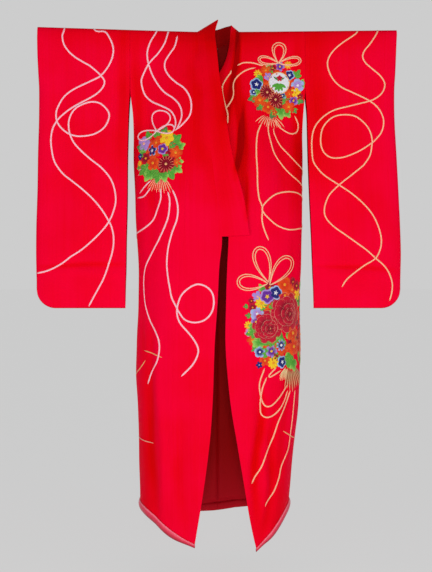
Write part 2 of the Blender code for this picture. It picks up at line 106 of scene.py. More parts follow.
def smooth_step(value):
    """Go from 0 to 1 with a level start and end."""
    value = np.clip(value, 0.0, 1.0)
    return value * value * (3.0 - 2.0 * value)


def unit(vectors):
    """Scale vectors to a length of one."""
    return vectors / np.maximum(np.linalg.norm(vectors, axis=-1, keepdims=True), 1e-12)


def between(values, place):
    """Carry a cubic curve through values, one a row, and read it at fractional row numbers."""
    values = np.asarray(values, dtype=float)
    padded = np.concatenate([2 * values[:1] - values[1:2], values, 2 * values[-1:] - values[-2:-1]])
    place = np.clip(place, 0.0, len(values) - 1.0)
    start = np.minimum(np.floor(place).astype(int), len(values) - 2)
    part = (place - start).reshape(np.shape(place) + (1,) * (values.ndim - 1))
    a, b, c, d = (padded[start + k] for k in range(4))
    return b + 0.5 * part * (c - a + part * (2 * a - 5 * b + 4 * c - d + part * (3 * (b - c) + d - a)))


def level(name, row):
    """Read a column of LEVELS at a row number: below 0 in front, above 0 behind, the same both ways."""
    column = LEVELS[name]
    return between(np.concatenate([column[:0:-1], column]), row + HEM)


def depth_level(front_name, back_name, row):
    """Read a depth at a row number, towards -Y in front and towards +Y behind."""
    return between(np.concatenate([-LEVELS[front_name][:0:-1], LEVELS[back_name]]), row + HEM)


def across_at(side, row, turn):
    """Distance from the middle at an angle: evenly along a flat section, as the sine round a full one."""
    bend = level("round", row)
    return level("half_" + side, row) * ((1.0 - bend) * turn / 90.0 + bend * np.sin(np.radians(turn)))


HALVINGS = 26


def turn_at(side, row, distance):
    """Angle of a distance from the middle, by halving the range between two angles again and again."""
    shape = np.broadcast_shapes(np.shape(row), np.shape(distance))
    low, high = np.full(shape, -90.0), np.full(shape, 90.0)
    for _ in range(HALVINGS):
        middle = 0.5 * (low + high)
        beyond = across_at(side, row, middle) > distance
        high = np.where(beyond, middle, high)
        low = np.where(beyond, low, middle)
    return 0.5 * (low + high)


def shoulder_rise(side, distance, height):
    """How much the shoulder stands up: evenly outwards from the neck, and fading out down the cloth."""
    share = np.clip((distance - SHOULDER_START) / SHOULDER_LENGTH, 0.0, 1.0)
    return SHOULDER_RISE[side] * share * (1.0 - smooth_step(-height / SHOULDER_DEPTH))


def drape(side, row, turn):
    """Points of the bare drape. x is the distance from the middle, y the depth of the section, with the left
    front pressed in near the middle, and z the height, less the dip of the hem, plus the shoulder's rise."""
    row, turn = np.broadcast_arrays(np.asarray(row, dtype=float), np.asarray(turn, dtype=float))
    angle = np.radians(turn)
    full = np.cos(angle) * (1.0 + FULLNESS * np.sin(angle) ** 2)
    bend = level("round", row)
    gap = np.where(row < 0.0, -1.0, 1.0) * np.maximum(level("gap", row), 0.0)
    y = gap + (depth_level("front", "back", row) - gap) * ((1.0 - bend) * np.cos(angle) ** 2 + bend * full)
    other = np.where(row < 0.0, -level("back", row), level("front", row))
    y = np.where(turn > 90.0, other * full, y)
    distance = across_at(side, row, turn)
    if side == "left":
        pressed = 1.0 - smooth_step((distance - LAP_START) / LAP_LENGTH)
        y = y + np.where(row < 0.0, level("lap", row), 0.0) * pressed
    height = level("height", row)
    share = np.abs(np.cos(angle))
    nearer_front = (row < 0.0) == (turn <= 90.0)
    from_seam = np.minimum(np.abs(np.sin(angle)) / MIDDLE_REACH, 1.0)
    drop_back = HEM_DROP_MIDDLE + (HEM_DROP_BACK[side] - HEM_DROP_MIDDLE) * from_seam
    dip = np.where(nearer_front, HEM_DROP_FRONT[side] * share ** HEM_DROP_POWER[side], drop_back * share**2)
    lowered = smooth_step((height - HEM_DROP_FROM) / (LEVELS["height"][HEM] - HEM_DROP_FROM))
    z = height - dip * lowered + shoulder_rise(side, distance, height)
    return np.stack([SIGN[side] * distance, y, z], axis=-1)


TURNS = np.linspace(-60.0, 180.0, 481)


def run_along(points):
    """Distance run along lines of points, from the first of each: the sum of the straight steps between."""
    steps = np.linalg.norm(np.diff(points, axis=-2), axis=-1)
    return np.concatenate([np.zeros((*steps.shape[:-1], 1)), np.cumsum(steps, axis=-1)], axis=-1)


def girth(side, row):
    """Distance round each section from its middle, at every angle of TURNS."""
    run = run_along(drape(side, row[:, None], TURNS[None, :]))
    middle = int(np.argmin(np.abs(TURNS)))
    return run - run[:, middle : middle + 1]


def edge_turn(side, row):
    """Angle of the front edge, or of the collar seam above it."""
    return turn_at(side, row, SIGN[side] * level("edge_" + side, row))


def okumi_turn(side, row):
    """Angle of the overlap strip's seam: the strip's width round the section from the front edge."""
    start = edge_turn(side, row)
    wide = np.where(row < -OKUMI_TOP, np.maximum(level("okumi", row), 0.0), 0.0)
    runs = girth(side, row)
    ends = [np.interp(np.interp(s, TURNS, run) + w, run, TURNS) for s, w, run in zip(start, wide, runs)]
    return np.array(ends)


SIDE_PAST, SIDE_PAST_LENGTH = 10.0, 0.25  # angle that the side seam lies back, and how far down it does


def side_turn(row):
    """Angle of the side edge from the middle: a little past the side in front, short of it behind."""
    past = SIDE_PAST * smooth_step((SIDE_CLOSED - level("height", row)) / SIDE_PAST_LENGTH)
    return np.where(row < 0.0, 90.0 + past, 90.0 - past)


# Soft folds of the cloth: side (-1 right, 1 left) and face (0 front, 1 back), where each starts and ends
# (distance round from the middle, height), its sway, half width and depth; a ridge has a negative depth.
FOLDS = table(
    "side face | start_s start_z end_s end_z sway width depth",
    [
        (-1, 0, 255, -1020, 262, -1800, 10, 30, 8.5), (-1, 0, 215, -1100, 214, -1780, -8, 22, -6),
        (-1, 0, 150, -1300, 120, -1840, 12, 30, 4.5), (-1, 0, 85, -1200, 62, -1800, 6, 22, -3.5),
        (-1, 0, 120, -100, 10, -620, 16, 36, 7), (-1, 0, 195, -160, 95, -700, 12, 40, 4),
        (-1, 0, 265, -200, 235, -950, -10, 26, 5), (-1, 0, 70, -20, 104, -220, 4, 22, 3.5),
        (-1, 0, 170, -700, 140, -1200, 12, 38, -3.5), (-1, 0, 300, -800, 285, -1300, 6, 20, 3.5),
        (1, 0, 75, -100, 92, -620, 6, 20, 15), (1, 0, 120, -160, 150, -520, 4, 26, -4.5),
        (1, 0, 235, -120, 225, -800, 10, 30, 4.5), (1, 0, 150, -1260, 140, -1800, -12, 24, 10),
        (1, 0, 118, -1300, 112, -1800, -8, 18, -5.5), (1, 0, 225, -1340, 195, -1860, 14, 26, 8),
        (1, 0, 262, -1000, 268, -1600, 6, 26, 6), (1, 0, 185, -1420, 170, -1800, 10, 20, -4.5),
        (1, 0, 300, -700, 290, -1200, 6, 22, 3.5), (-1, 1, 50, -100, 120, -700, 14, 40, 5.5),
        (-1, 1, 215, -450, 200, -1700, -14, 34, 11), (-1, 1, 165, -600, 150, -1720, 10, 28, -6),
        (-1, 1, 90, -950, 70, -1780, 12, 30, 7.5), (-1, 1, 270, -500, 262, -1100, 6, 22, 4),
        (1, 1, 65, -120, 150, -600, 12, 38, 5), (1, 1, 190, -550, 205, -1740, 16, 36, 12),
        (1, 1, 140, -700, 145, -1600, 8, 26, -6), (1, 1, 75, -1050, 90, -1760, -10, 28, 7),
        (1, 1, 262, -600, 268, -1300, -8, 24, 4.5),
    ],
)


SWAY_TURNS = 2.6  # half waves of a fold's sway along its length
FOLD_NARROW, FOLD_WIDEN = 0.7, 0.5  # share of its width where a fold starts, and what it gains by its end


def fold_depth(folds, s, z):
    """How far folds press in, and how strong the lines of painted shade are: each is a bell across its
    swayed line, and fades out towards both ends.
    """
    total = np.zeros(np.shape(s))
    for n in range(len(folds["depth"])):
        start = np.array((folds["start_s"][n], folds["start_z"][n]))
        reach = np.array((folds["end_s"][n], folds["end_z"][n])) - start
        length = np.hypot(*reach)
        along = ((s - start[0]) * reach[0] + (z - start[1]) * reach[1]) / length**2
        share = np.clip(along, 0.0, 1.0)
        sideways = ((s - start[0]) * reach[1] - (z - start[1]) * reach[0]) / length
        sideways = sideways - folds["sway"][n] * np.sin(SWAY_TURNS * np.pi * share)
        spread = folds["width"][n] * (FOLD_NARROW + FOLD_WIDEN * share)
        beyond = (along - share) * length / folds["width"][n]
        bell = np.exp(-((sideways / spread) ** 2) - beyond**2)
        total += folds["depth"][n] * bell * np.sin(np.pi * (0.05 + 0.90 * share)) ** 0.8
    return total


# Painted shade, where the silk lies in shade (creases, beside the crossing collar, the shoulders, the
# sides): face (0 front, 1 back), start and end (x, height), sway, half width and amount of painted shade.
PAINTED_SHADE_LINES = table(
    "face | start_s start_z end_s end_z sway width depth",
    [
        (0, 102, -250, 68, -550, 4, 10, 420), (0, 84, -340, 68, -520, 2, 8, 750),
        (0, 104, -530, 103, -700, 0, 7, 400), (0, 74, 60, 71, -150, 0, 8, 700),
        (0, 76, -40, 30, -340, 0, 13, 600), (0, -30, 60, 40, -500, 0, 34, 160),
        (0, 0, -280, 36, -800, 0, 34, 120), (0, -720, 0, 720, 0, 0, 85, 240),
        (0, 10, 140, 0, -660, 0, 270, 240), (0, -60, -1000, -70, -2050, 0, 160, 120),
        (0, -256, -1120, -240, -1920, 4, 32, 220), (0, 150, -1220, 142, -2000, 0, 60, 110),
        (0, 224, -1300, 210, -1960, 6, 44, 200), (0, 150, -1260, 136, -1800, -10, 12, 80),
        (0, -500, 120, -490, -1160, 10, 190, 130), (0, 500, 120, 490, -1160, 10, 190, 120),
        (0, -338, 20, -350, -520, 4, 24, 240), (0, 350, 40, 366, -560, 4, 60, 300),
        (0, -655, -856, -335, -846, 2, 9, 220), (0, 350, -852, 655, -868, 2, 8, 180),
        (0, -296, -20, -286, -500, 4, 20, 260), (0, 290, -20, 284, -700, 4, 22, 260),
        (1, -100, -20, 20, -620, 12, 36, 300), (1, 110, -20, 30, -580, 10, 36, 300),
        (1, -720, 0, 720, 0, 0, 85, 280), (1, -250, -1000, -240, -1860, 8, 30, 400),
        (1, 246, -1050, 236, -1860, 8, 30, 400), (1, -336, 20, -348, -500, 4, 26, 260),
        (1, 338, 20, 350, -500, 4, 26, 260), (1, -500, 120, -510, -1160, 10, 170, 200),
        (1, 350, -846, 655, -860, 2, 9, 200), (1, -655, -862, -335, -850, 2, 9, 200),
    ],
)


def chosen(folds, **wanted):
    """The rows of a table of folds that have the wanted values."""
    picked = np.all([folds[name] == value for name, value in wanted.items()], axis=0)
    return {name: column[picked] for name, column in folds.items()}


FOLD_PAINTED_SHADE, FOLD_PAINTED_SHADE_DEPTH = 0.28, 0.013  # most painted shade that a fold adds in its crease, and how deep the fold is then


def painted_shade_amount(points, press):
    """Painted shade on the silk, from 0 to 1: darker in its folds' creases by a share of their depth, and
    along the lines of painted shade.
    """
    tone = FOLD_PAINTED_SHADE * smooth_step(press / FOLD_PAINTED_SHADE_DEPTH)
    for face, here in ((0, points[..., 1] < 0.0), (1, points[..., 1] >= 0.0)):
        lines = chosen(PAINTED_SHADE_LINES, face=face)
        tone = tone + np.where(here, fold_depth(lines, points[..., 0], points[..., 2]), 0.0)
    return np.clip(tone, 0.0, 1.0)


RIPPLES = ((21, 9, 0.9), (34, 17, 0.55), (13, 26, 0.6), (57, 31, 0.28))  # across, down, share of depth
RIPPLE_DEPTH = 0.0011
RIPPLE_SEED = {"right": 1.0, "left": 4.0}


def ripple(s, z, seed):
    """The silk's own unevenness: slow waves of unlike lengths laid over each other, about a millimetre."""
    total = 0.0
    for n, (across, down, size) in enumerate(RIPPLES):
        bent = s * across + 0.6 * np.sin(z * down * 0.7 + seed + n)
        total = total + size * np.sin(bent + 1.7 * n + seed) * np.sin(z * down + 2.3 * n + 0.5 * seed)
    return RIPPLE_DEPTH * total


def facing(points, flip=1.0):
    """Unit normals of a grid: the way its columns run crossed with the way its rows run."""
    across, along = np.gradient(points, axis=1), np.gradient(points, axis=0)
    return unit(np.cross(unit(across), unit(along))) * flip


QUIET = {"side": 0.05, "back": 0.04, "shoulder": 0.05}  # how near to each the folds fade out


def body_cloth(side, row, turn):
    """Finished surface at rows and angles: the drape pushed in along its normal by folds and ripples, which
    fade at the shoulder line, the side seam and the back seam. Also its normals, its distance round and how
    far it is pushed in."""
    bare = drape(side, row[:, None], turn)
    runs = girth(side, row)
    s = np.array([np.interp(t, TURNS, run) for t, run in zip(turn, runs)])
    side_s = np.array([np.interp(t, TURNS, run) for t, run in zip(side_turn(row), runs)])[:, None]
    behind = row[:, None] >= 0.0
    z = bare[..., 2]
    edges = smooth_step((side_s - s) / QUIET["side"])
    edges = edges * np.where(behind, smooth_step(np.abs(s) / QUIET["back"]), 1.0)
    press = ripple(s, z, RIPPLE_SEED[side]) * edges
    for face, here in ((0, ~behind), (1, behind)):
        folds = chosen(FOLDS, side=SIGN[side], face=face)
        press = press + np.where(here, fold_depth(folds, s, z), 0.0) * edges
    quiet = smooth_step(-level("height", row) / QUIET["shoulder"])[:, None]
    points = bare - facing(bare, SIGN[side]) * (press * quiet)[..., None]
    return points, facing(points, SIGN[side]), s, press * quiet


def even_rows(side, start, end, pitch=PITCH):
    """Row numbers a pitch apart along the cloth, measured half way round one side, and their distances."""
    fine = np.linspace(start, end, 3001)
    run = run_along(drape(side, fine, 45.0))
    even = np.linspace(0.0, run[-1], max(4, int(round(run[-1] / pitch)) + 1))
    return np.interp(even, run, fine), even


SEAM_REACH = 0.0018  # half width of the dent along a seam
SEAM_DEPTH = 0.0001
SEAM_POINTS = np.array((0.0, 0.00006, 0.0022, 0.0052))  # distances from a seam where its turn has points


def shares_across(width):
    """Shares of a width, a pitch apart, with closer ones at both edges for the turn of the seam."""
    near = SEAM_POINTS / width
    inner = np.linspace(near[3], 1.0 - near[3], max(3, int(round(width / PITCH))))
    return np.concatenate([near[:3], inner, 1.0 - near[2::-1]])


def seam_turned(points, normal, share, width, depth):
    """Turn both sewn edges of a grid in: a bell of its distance from the edge, along the normal."""
    near = np.minimum(share, 1.0 - share) * width
    return points - normal * (depth * np.exp(-((near / SEAM_REACH) ** 2)))[..., None]


def grid_faces(rows, columns):
    """Four corners of each cell of a grid of points numbered row by row."""
    corner = (np.arange(rows - 1)[:, None] * columns + np.arange(columns - 1)).ravel()
    return np.stack([corner, corner + 1, corner + columns + 1, corner + columns], axis=1)


def new_piece(name, points, faces, uv, finish, tone=None):
    """Put points and four-cornered faces into a new mesh object, which rides with the robe."""
    points, faces = np.asarray(points, dtype=np.float32), np.asarray(faces, dtype=np.int32)
    mesh = bpy.data.meshes.new(name)
    mesh.vertices.add(len(points))
    mesh.vertices.foreach_set("co", points.ravel())
    mesh.loops.add(faces.size)
    mesh.loops.foreach_set("vertex_index", faces.ravel())
    mesh.polygons.add(len(faces))
    mesh.polygons.foreach_set("loop_start", np.arange(0, faces.size, 4, dtype=np.int32))
    mesh.polygons.foreach_set("use_smooth", np.ones(len(faces), dtype=bool))
    mesh.update(calc_edges=True)
    layer = mesh.uv_layers.new(name="cloth")
    layer.data.foreach_set("uv", np.asarray(uv, dtype=np.float32)[faces.ravel()].ravel())
    # The painted shade of each point goes into an attribute that the crepe's colour reads.
    if tone is not None:
        depth = mesh.attributes.new("deep", "FLOAT", "POINT")
        depth.data.foreach_set("value", np.asarray(tone, dtype=np.float32).ravel())
    mesh.materials.append(finish)
    piece = bpy.data.objects.new(name, mesh)
    bpy.context.scene.collection.objects.link(piece)
    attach(piece, "root")
    return piece


def give_wall(piece, thickness, inner):
    """Give a cloth its thickness inwards, with the lining's finish on the inside."""
    piece.data.materials.append(inner)
    wall = piece.modifiers.new("wall", "SOLIDIFY")
    wall.thickness = thickness
    wall.offset = -1.0
    wall.material_offset = 1


def lay_grid(name, side, points, s, run, finish, thickness, tone=None):
    """One cloth of a side, of even distances across (s) and along (run), with its columns towards +X."""
    uv = np.stack([SIGN[side] * s, np.broadcast_to(run[:, None], s.shape)], axis=-1)
    way = slice(None, None, -1 if side == "right" else 1)
    tone = None if tone is None else tone[:, way]
    points, uv = (values[:, way].reshape(-1, values.shape[-1]) for values in (points, uv))
    piece = new_piece(name, points, grid_faces(*s.shape), uv, finish, tone)
    give_wall(piece, thickness, LINING)
    return piece


def cut_cloth(name, side, row, turns, shares, run, width):
    """One sewn piece of the body, with its seams turned in: less where it narrows to a point."""
    points, normal, s, press = body_cloth(side, row, turns)
    depth = SEAM_DEPTH * smooth_step(np.abs(s[:, -1:] - s[:, :1]) / (0.5 * width))
    points = seam_turned(points, normal, shares, width, depth)
    # The cloth's painted shade comes from its folds and the lines of painted shade.
    return lay_grid(name, side, points, s, run, SILK, CLOTH, painted_shade_amount(points, press))


def srgb(red, green, blue):
    """Turn a colour given as 0 to 255 into linear light."""
    share = np.array((red, green, blue)) / 255.0
    linear = np.where(share <= 0.04045, share / 12.92, ((share + 0.055) / 1.055) ** 2.4)
    return (*(float(value) for value in linear), 1.0)


def material(name, colour, roughness, specular=0.1, sheen=0.0, sheen_tint=(255, 255, 255)):
    """Start a finish with its surface shader set. Colours are given as 0 to 255."""
    finish = bpy.data.materials.new(name)
    finish.use_nodes = True
    surface = finish.node_tree.nodes["Principled BSDF"]
    surface.inputs["Base Color"].default_value = srgb(*colour)
    surface.inputs["Roughness"].default_value = roughness
    surface.inputs["Specular IOR Level"].default_value = specular
    surface.inputs["Sheen Weight"].default_value = sheen
    surface.inputs["Sheen Roughness"].default_value = 0.45
    surface.inputs["Sheen Tint"].default_value = srgb(*sheen_tint)
    finish.diffuse_color = srgb(*colour)
    return finish


def add_node(finish, kind, settings=None, **sources):
    """Add a shader node, set its properties, and join or set its inputs: by name, with _ for a space, or by
    number as n0, n1 and so on."""
    node = finish.node_tree.nodes.new("ShaderNode" + kind)
    for key, value in (settings or {}).items():
        setattr(node, key, value)
    for key, value in sources.items():
        numbered = key[0] == "n" and key[1:].isdigit()
        socket = node.inputs[int(key[1:]) if numbered else key.replace("_", " ")]
        if isinstance(value, bpy.types.NodeSocket):
            finish.node_tree.links.new(value, socket)
        else:
            socket.default_value = value
    return node


def join(finish, socket, source):
    """Join a node's output to a socket of the surface shader."""
    finish.node_tree.links.new(source, finish.node_tree.nodes["Principled BSDF"].inputs[socket])


def colour_steps(finish, source, steps):
    """Colours along a value: pairs of a place and a colour, blended between."""
    ramp = add_node(finish, "ValToRGB", Fac=source)
    band = ramp.color_ramp.elements
    while len(band) < len(steps):
        band.new(0.5)
    for element, (place, colour) in zip(band, steps):
        element.position = place
        element.color = srgb(*colour)
    return ramp.outputs["Color"]


def along_cloth(finish):
    """Place on a cloth, from its own map: across and along, in metres."""
    return add_node(finish, "UVMap", {"uv_map": "cloth"}).outputs["UV"]


def uneven(finish, vector, detail, scale=1.0, stretch=(1.0, 1.0), roughness=0.5):
    """Noise of a place, so many to the metre across and along, as its value."""
    place = add_node(finish, "Mapping", Vector=vector, Scale=(*stretch, 1.0)).outputs["Vector"]
    noise = add_node(finish, "TexNoise", Vector=place, Scale=scale, Detail=detail, Roughness=roughness)
    return noise.outputs["Fac"]


def ribs(finish, vector, scale, distortion, way="X"):
    """Even ribs across a way, a little wavy, as their height."""
    settings = {"wave_type": "BANDS", "bands_direction": way}
    wave = add_node(
        finish, "TexWave", settings, Vector=vector, Scale=scale, Distortion=distortion, Detail=1.0
    )
    return wave.outputs["Fac"]


def multiply_add(finish, first, second, third):
    """The first value times the second, plus the third."""
    settings = {"operation": "MULTIPLY_ADD"}
    return add_node(finish, "Math", settings, n0=first, n1=second, n2=third).outputs[0]


def raised(finish, height, strength, distance):
    """Let a value stand up from the surface as fine relief."""
    bump = add_node(finish, "Bump", Strength=strength, Distance=distance, Height=height)
    join(finish, "Normal", bump.outputs["Normal"])


WAVE_LENGTH = 0.314  # of even ribs at a scale of 1


def weave(finish, uv, thread, strength, grain):
    """A woven surface: two crossed sets of threads a pitch apart, and the crepe's fine uneven grain."""
    warp, weft = (ribs(finish, uv, WAVE_LENGTH / thread, 2.0, way) for way in "XY")
    crinkle = uneven(finish, uv, 3.0, grain, roughness=0.6)
    threads = add_node(finish, "Math", {"operation": "ADD"}, n0=warp, n1=weft).outputs[0]
    raised(finish, multiply_add(finish, crinkle, 2.5, threads), strength, 0.0003)


def silk_crepe():
    """Scarlet crepe: a crossed weave and grain, faint streaks down the length, slow changes of tone, and
    painted
    shade: a darker, more orange red where the cloth lies in shade."""
    finish = material("scarlet_crepe", (238, 1, 42), 0.6, 0.012, sheen=0.03, sheen_tint=(255, 30, 50))
    uv = along_cloth(finish)
    streaks = uneven(finish, uv, 2.0, stretch=(190.0, 2.2))
    place = add_node(finish, "TexCoord").outputs["Object"]
    clouds = uneven(finish, place, 3.0, 7.0)
    tone = add_node(finish, "Mix", {"data_type": "FLOAT"}, Factor=0.60, A=streaks, B=clouds)
    deep = add_node(finish, "Attribute", {"attribute_name": "deep"}).outputs["Fac"]
    # Painted shade: the ramp runs from the open scarlet of the streaks and clouds to dark red as the painted
    # shade rises.
    dyed = colour_steps(
        finish, multiply_add(finish, tone.outputs["Result"], 0.45, deep),
        [
            (0.16, (248, 0, 56)), (0.27, (244, 0, 48)), (0.42, (238, 0, 29)), (0.60, (226, 0, 8)),
            (0.80, (200, 0, 3)), (1.00, (166, 0, 2)),
        ],
    )
    join(finish, "Base Color", dyed)
    weave(finish, uv, 0.0011, 0.22, 420.0)
    return finish


def silk_lining():
    """Dark red plain silk with slubs down its length, painted darker towards the top and brighter towards
    the hem: painted shade inside the robe, painted light where it comes in at the open hem.
    """
    finish = material("dark_red_lining", (110, 0, 10), 0.55, specular=0.05)
    place = add_node(finish, "TexCoord").outputs["Object"]
    height = add_node(finish, "SeparateXYZ", Vector=place).outputs["Z"]
    uv = along_cloth(finish)
    slubs = uneven(finish, uv, 3.0, stretch=(120.0, 5.0))
    share = add_node(
        finish, "MapRange", Value=multiply_add(finish, slubs, 0.10, height),
        **{"From Min": -1.72, "From Max": -0.55, "To Min": 0.0, "To Max": 1.0},
    )
    # Painted light and shade: brighter and pinker at the hem, darker up inside the robe.
    dyed = colour_steps(
        finish, share.outputs["Result"],
        [(0.0, (178, 10, 28)), (0.2, (168, 3, 8)), (0.5, (166, 1, 3)), (1.0, (150, 1, 2))],
    )
    join(finish, "Base Color", dyed)
    weave(finish, uv, 0.0009, 0.2, 260.0)
    return finish


SILK = silk_crepe()
LINING = silk_lining()


def inner_turn(side, row):
    """Angle of a body panel's inner edge: the strip's seam, the collar's seam, the neck, the back seam."""
    neck = np.concatenate([np.abs(LEVELS["edge_" + side][:1]), LEVELS["neck"][1:]])
    behind = turn_at(side, row, np.maximum(between(neck, row), 0.0))
    return np.where(row < 0.0, okumi_turn(side, row), behind)


PANEL_WIDTH = 0.29
NECK_BACK = 4  # row of LEVELS where the back neck is lowest; below it the back seam laps a hair
SEAM_FREE, SEAM_LAP = 0.006, -0.02  # angle left free at the inner seams, and lapped at the back seam
SIDE_FREE = 0.02  # angle left free at the side
for side in ("right", "left"):
    row, run = even_rows(side, -HEM, HEM)
    start, end = inner_turn(side, row)[:, None], side_turn(row)[:, None]
    shares = shares_across(PANEL_WIDTH)
    inner = np.where(row > NECK_BACK, SEAM_LAP, SEAM_FREE)[:, None]
    turns = start + inner + shares * (end - start - inner - SIDE_FREE)
    panel = cut_cloth(side + "_body_cloth", side, row, turns, shares, run, PANEL_WIDTH)
    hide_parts(side + "_body_panel")

# ------------------------------------------------------------------------------------ the overlap strips
# The okumi, a half width of the same crepe, is sewn to each front below the chest. It comes to a point
# under the collar, and its free edge hangs open down the front.

OKUMI_WIDTH = 0.135
OKUMI_FREE = 0.04  # angle left free at its seam
OKUMI_LEAST = 0.01  # angle that its point still covers
for side in ("right", "left"):
    row, run = even_rows(side, -HEM, -OKUMI_TOP - 0.06)
    start, end = edge_turn(side, row)[:, None], okumi_turn(side, row)[:, None]
    shares = shares_across(OKUMI_WIDTH)
    turns = start + shares * np.maximum(end - start - OKUMI_FREE, OKUMI_LEAST)
    strip = cut_cloth(side + "_okumi_cloth", side, row, turns, shares, run, OKUMI_WIDTH)
    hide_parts(side + "_okumi")

# ------------------------------------------------------------------------------------------ the sleeves
# Each sleeve is one length of crepe folded over the arm and hanging a metre down: closed along the bottom
# and up the outer edge, open at the cuff above and all along its inner edge, with one round corner.

# One row for each level: x of the inner and outer edges, half distance between the two layers at the open
# inner edge, in the middle, and at the outer edge while the cuff is open.
SLEEVES = table(
    "| height inner_right outer_right inner_left outer_left open middle cuff",
    [
        (0, 317.9, 655, 317.9, 652, 0, 0, 0), (-5, 317.9, 655, 317.9, 652, 12, 12, 10),
        (-18, 317.9, 655, 317.9, 652, 18, 18, 15), (-34, 317.9, 655, 317.9, 651, 21, 21, 17),
        (-52, 317.9, 655, 317.9, 650, 23, 23, 18), (-110, 317.9, 654, 317.9, 648, 25, 26, 18),
        (-170, 317.9, 652, 317.9, 646, 25, 28, 14), (-230, 318.5, 651, 319, 645, 24, 30, 0),
        (-300, 322.5, 651, 325.5, 645, 23, 31, 0), (-370, 325, 652, 327.5, 647, 22, 31, 0),
        (-480, 327.5, 655, 330.5, 653, 21, 30, 0), (-620, 328.5, 657, 336, 660, 20, 29, 0),
        (-754, 331.5, 661, 342, 666, 19, 27, 0), (-860, 333, 662, 346, 669, 17, 24, 0),
        (-930, 335, 661, 349, 668, 14, 20, 0), (-975, 335.5, 660, 350, 667, 9, 13, 0),
        (-998, 335.8, 660, 350.2, 667, 4.5, 6, 0), (-1008, 335.8, 660, 350.2, 667, 0, 0, 0),
    ],
)
CUFF_ROW = 7.0  # row of SLEEVES where the cuff's opening ends
SLEEVE_CORNER = 0.070  # radius
SLEEVE_WIDTH = 0.335
OUTER_EDGE = 0.83  # share of the width past which the two layers close
INNER_TURN, INNER_TURN_REACH = 0.0012, 0.0035  # how far the open inner edge turns in, and over what width
QUIET_HALF = 0.016  # half distance between the layers below which creases fade
BEHIND_SHIFT = 0.012  # how far aside the creases lie behind
EDGE_SHARES = [0.0, 0.0007, 0.007]  # extra points at the turned inner edge
FIRST_SHARE, ACROSS_POINTS = 0.016, 62  # where the even points start, and how many there are
SLEEVE_SEED, BEHIND_SEED = {"right": 2.0, "left": 5.5}, 1.3

# Creases of the sleeves, on both faces: side, start and end (x outwards, height), sway, half width, depth.
SLEEVE_FOLDS = table(
    "side | start_s start_z end_s end_z sway width depth",
    [
        (-1, 350, -858, 640, -842, 3, 10, 3), (-1, 350, -885, 600, -872, 3, 14, -2),
        (-1, 345, -40, 372, -420, 8, 26, 4.5), (-1, 440, -60, 425, -620, 12, 36, 3),
        (-1, 560, -100, 580, -760, -10, 40, 3), (-1, 400, -640, 560, -980, 12, 34, 3),
        (-1, 500, -500, 490, -820, -8, 32, -2.5), (1, 350, -850, 560, -862, 3, 10, 3),
        (1, 380, -880, 640, -895, 2, 14, -2), (1, 345, -50, 365, -380, 8, 26, 4.5),
        (1, 430, -80, 452, -560, -10, 34, 3), (1, 570, -120, 555, -700, 12, 40, 3),
        (1, 410, -600, 540, -960, -12, 36, 3), (1, 505, -450, 520, -800, 8, 30, -2.5),
    ],
)


def sleeve_cloth(side, row, share):
    """Finished surface of a sleeve at rows (below 0 in front, above 0 behind) and shares of its width. The
    two layers part like a lens and close in a quarter circle at the outer edge; creases press them in."""
    place = np.abs(row)[:, None]
    column = {name: between(values, place) for name, values in SLEEVES.items()}
    inner, outer = column["inner_" + side], column["outer_" + side]
    x = inner + share * (outer - inner)
    from_edge = np.clip(SLEEVE_CORNER - (outer - x), 0.0, SLEEVE_CORNER)
    lift = SLEEVE_CORNER - np.sqrt(SLEEVE_CORNER**2 - from_edge**2)
    height = column["height"]
    z = height * (1.0 + lift / SLEEVES["height"][-1]) + shoulder_rise(side, x, height)
    half = column["open"] + (column["middle"] - column["open"]) * np.sin(np.pi * share) ** 2
    closing = np.sqrt(1.0 - np.clip((share - OUTER_EDGE) / (1.0 - OUTER_EDGE), 0.0, 1.0) ** 2)
    half = np.maximum(column["cuff"], 0.0) * (1.0 - closing) + np.maximum(half, 0.0) * closing
    behind = row[:, None] >= 0.0
    folds = chosen(SLEEVE_FOLDS, side=SIGN[side])
    seed = SLEEVE_SEED[side] + np.where(behind, BEHIND_SEED, 0.0)
    press = fold_depth(folds, x + np.where(behind, BEHIND_SHIFT, 0.0), z) + ripple(x, z, seed)
    quiet = smooth_step(half / QUIET_HALF)
    half = half - press * quiet
    return np.stack([SIGN[side] * x, np.where(behind, half, -half), z], axis=-1)


def sleeve_rows():
    """Row numbers a pitch apart down one layer of the sleeve."""
    fine = np.linspace(0.0, len(SLEEVES["height"]) - 1.0, 2001)
    run = run_along(np.stack([between(SLEEVES["height"], fine), between(SLEEVES["middle"], fine)], axis=-1))
    even = np.linspace(0.0, run[-1], int(round(run[-1] / PITCH)) + 1)
    return np.interp(even, run, fine), even


def layer_faces(index, flip):
    """Faces of one layer of a numbered grid of points."""
    corners = [index[:-1, :-1], index[:-1, 1:], index[1:, 1:], index[1:, :-1]]
    return np.stack(corners[::-1] if flip else corners, axis=-1).reshape(-1, 4)


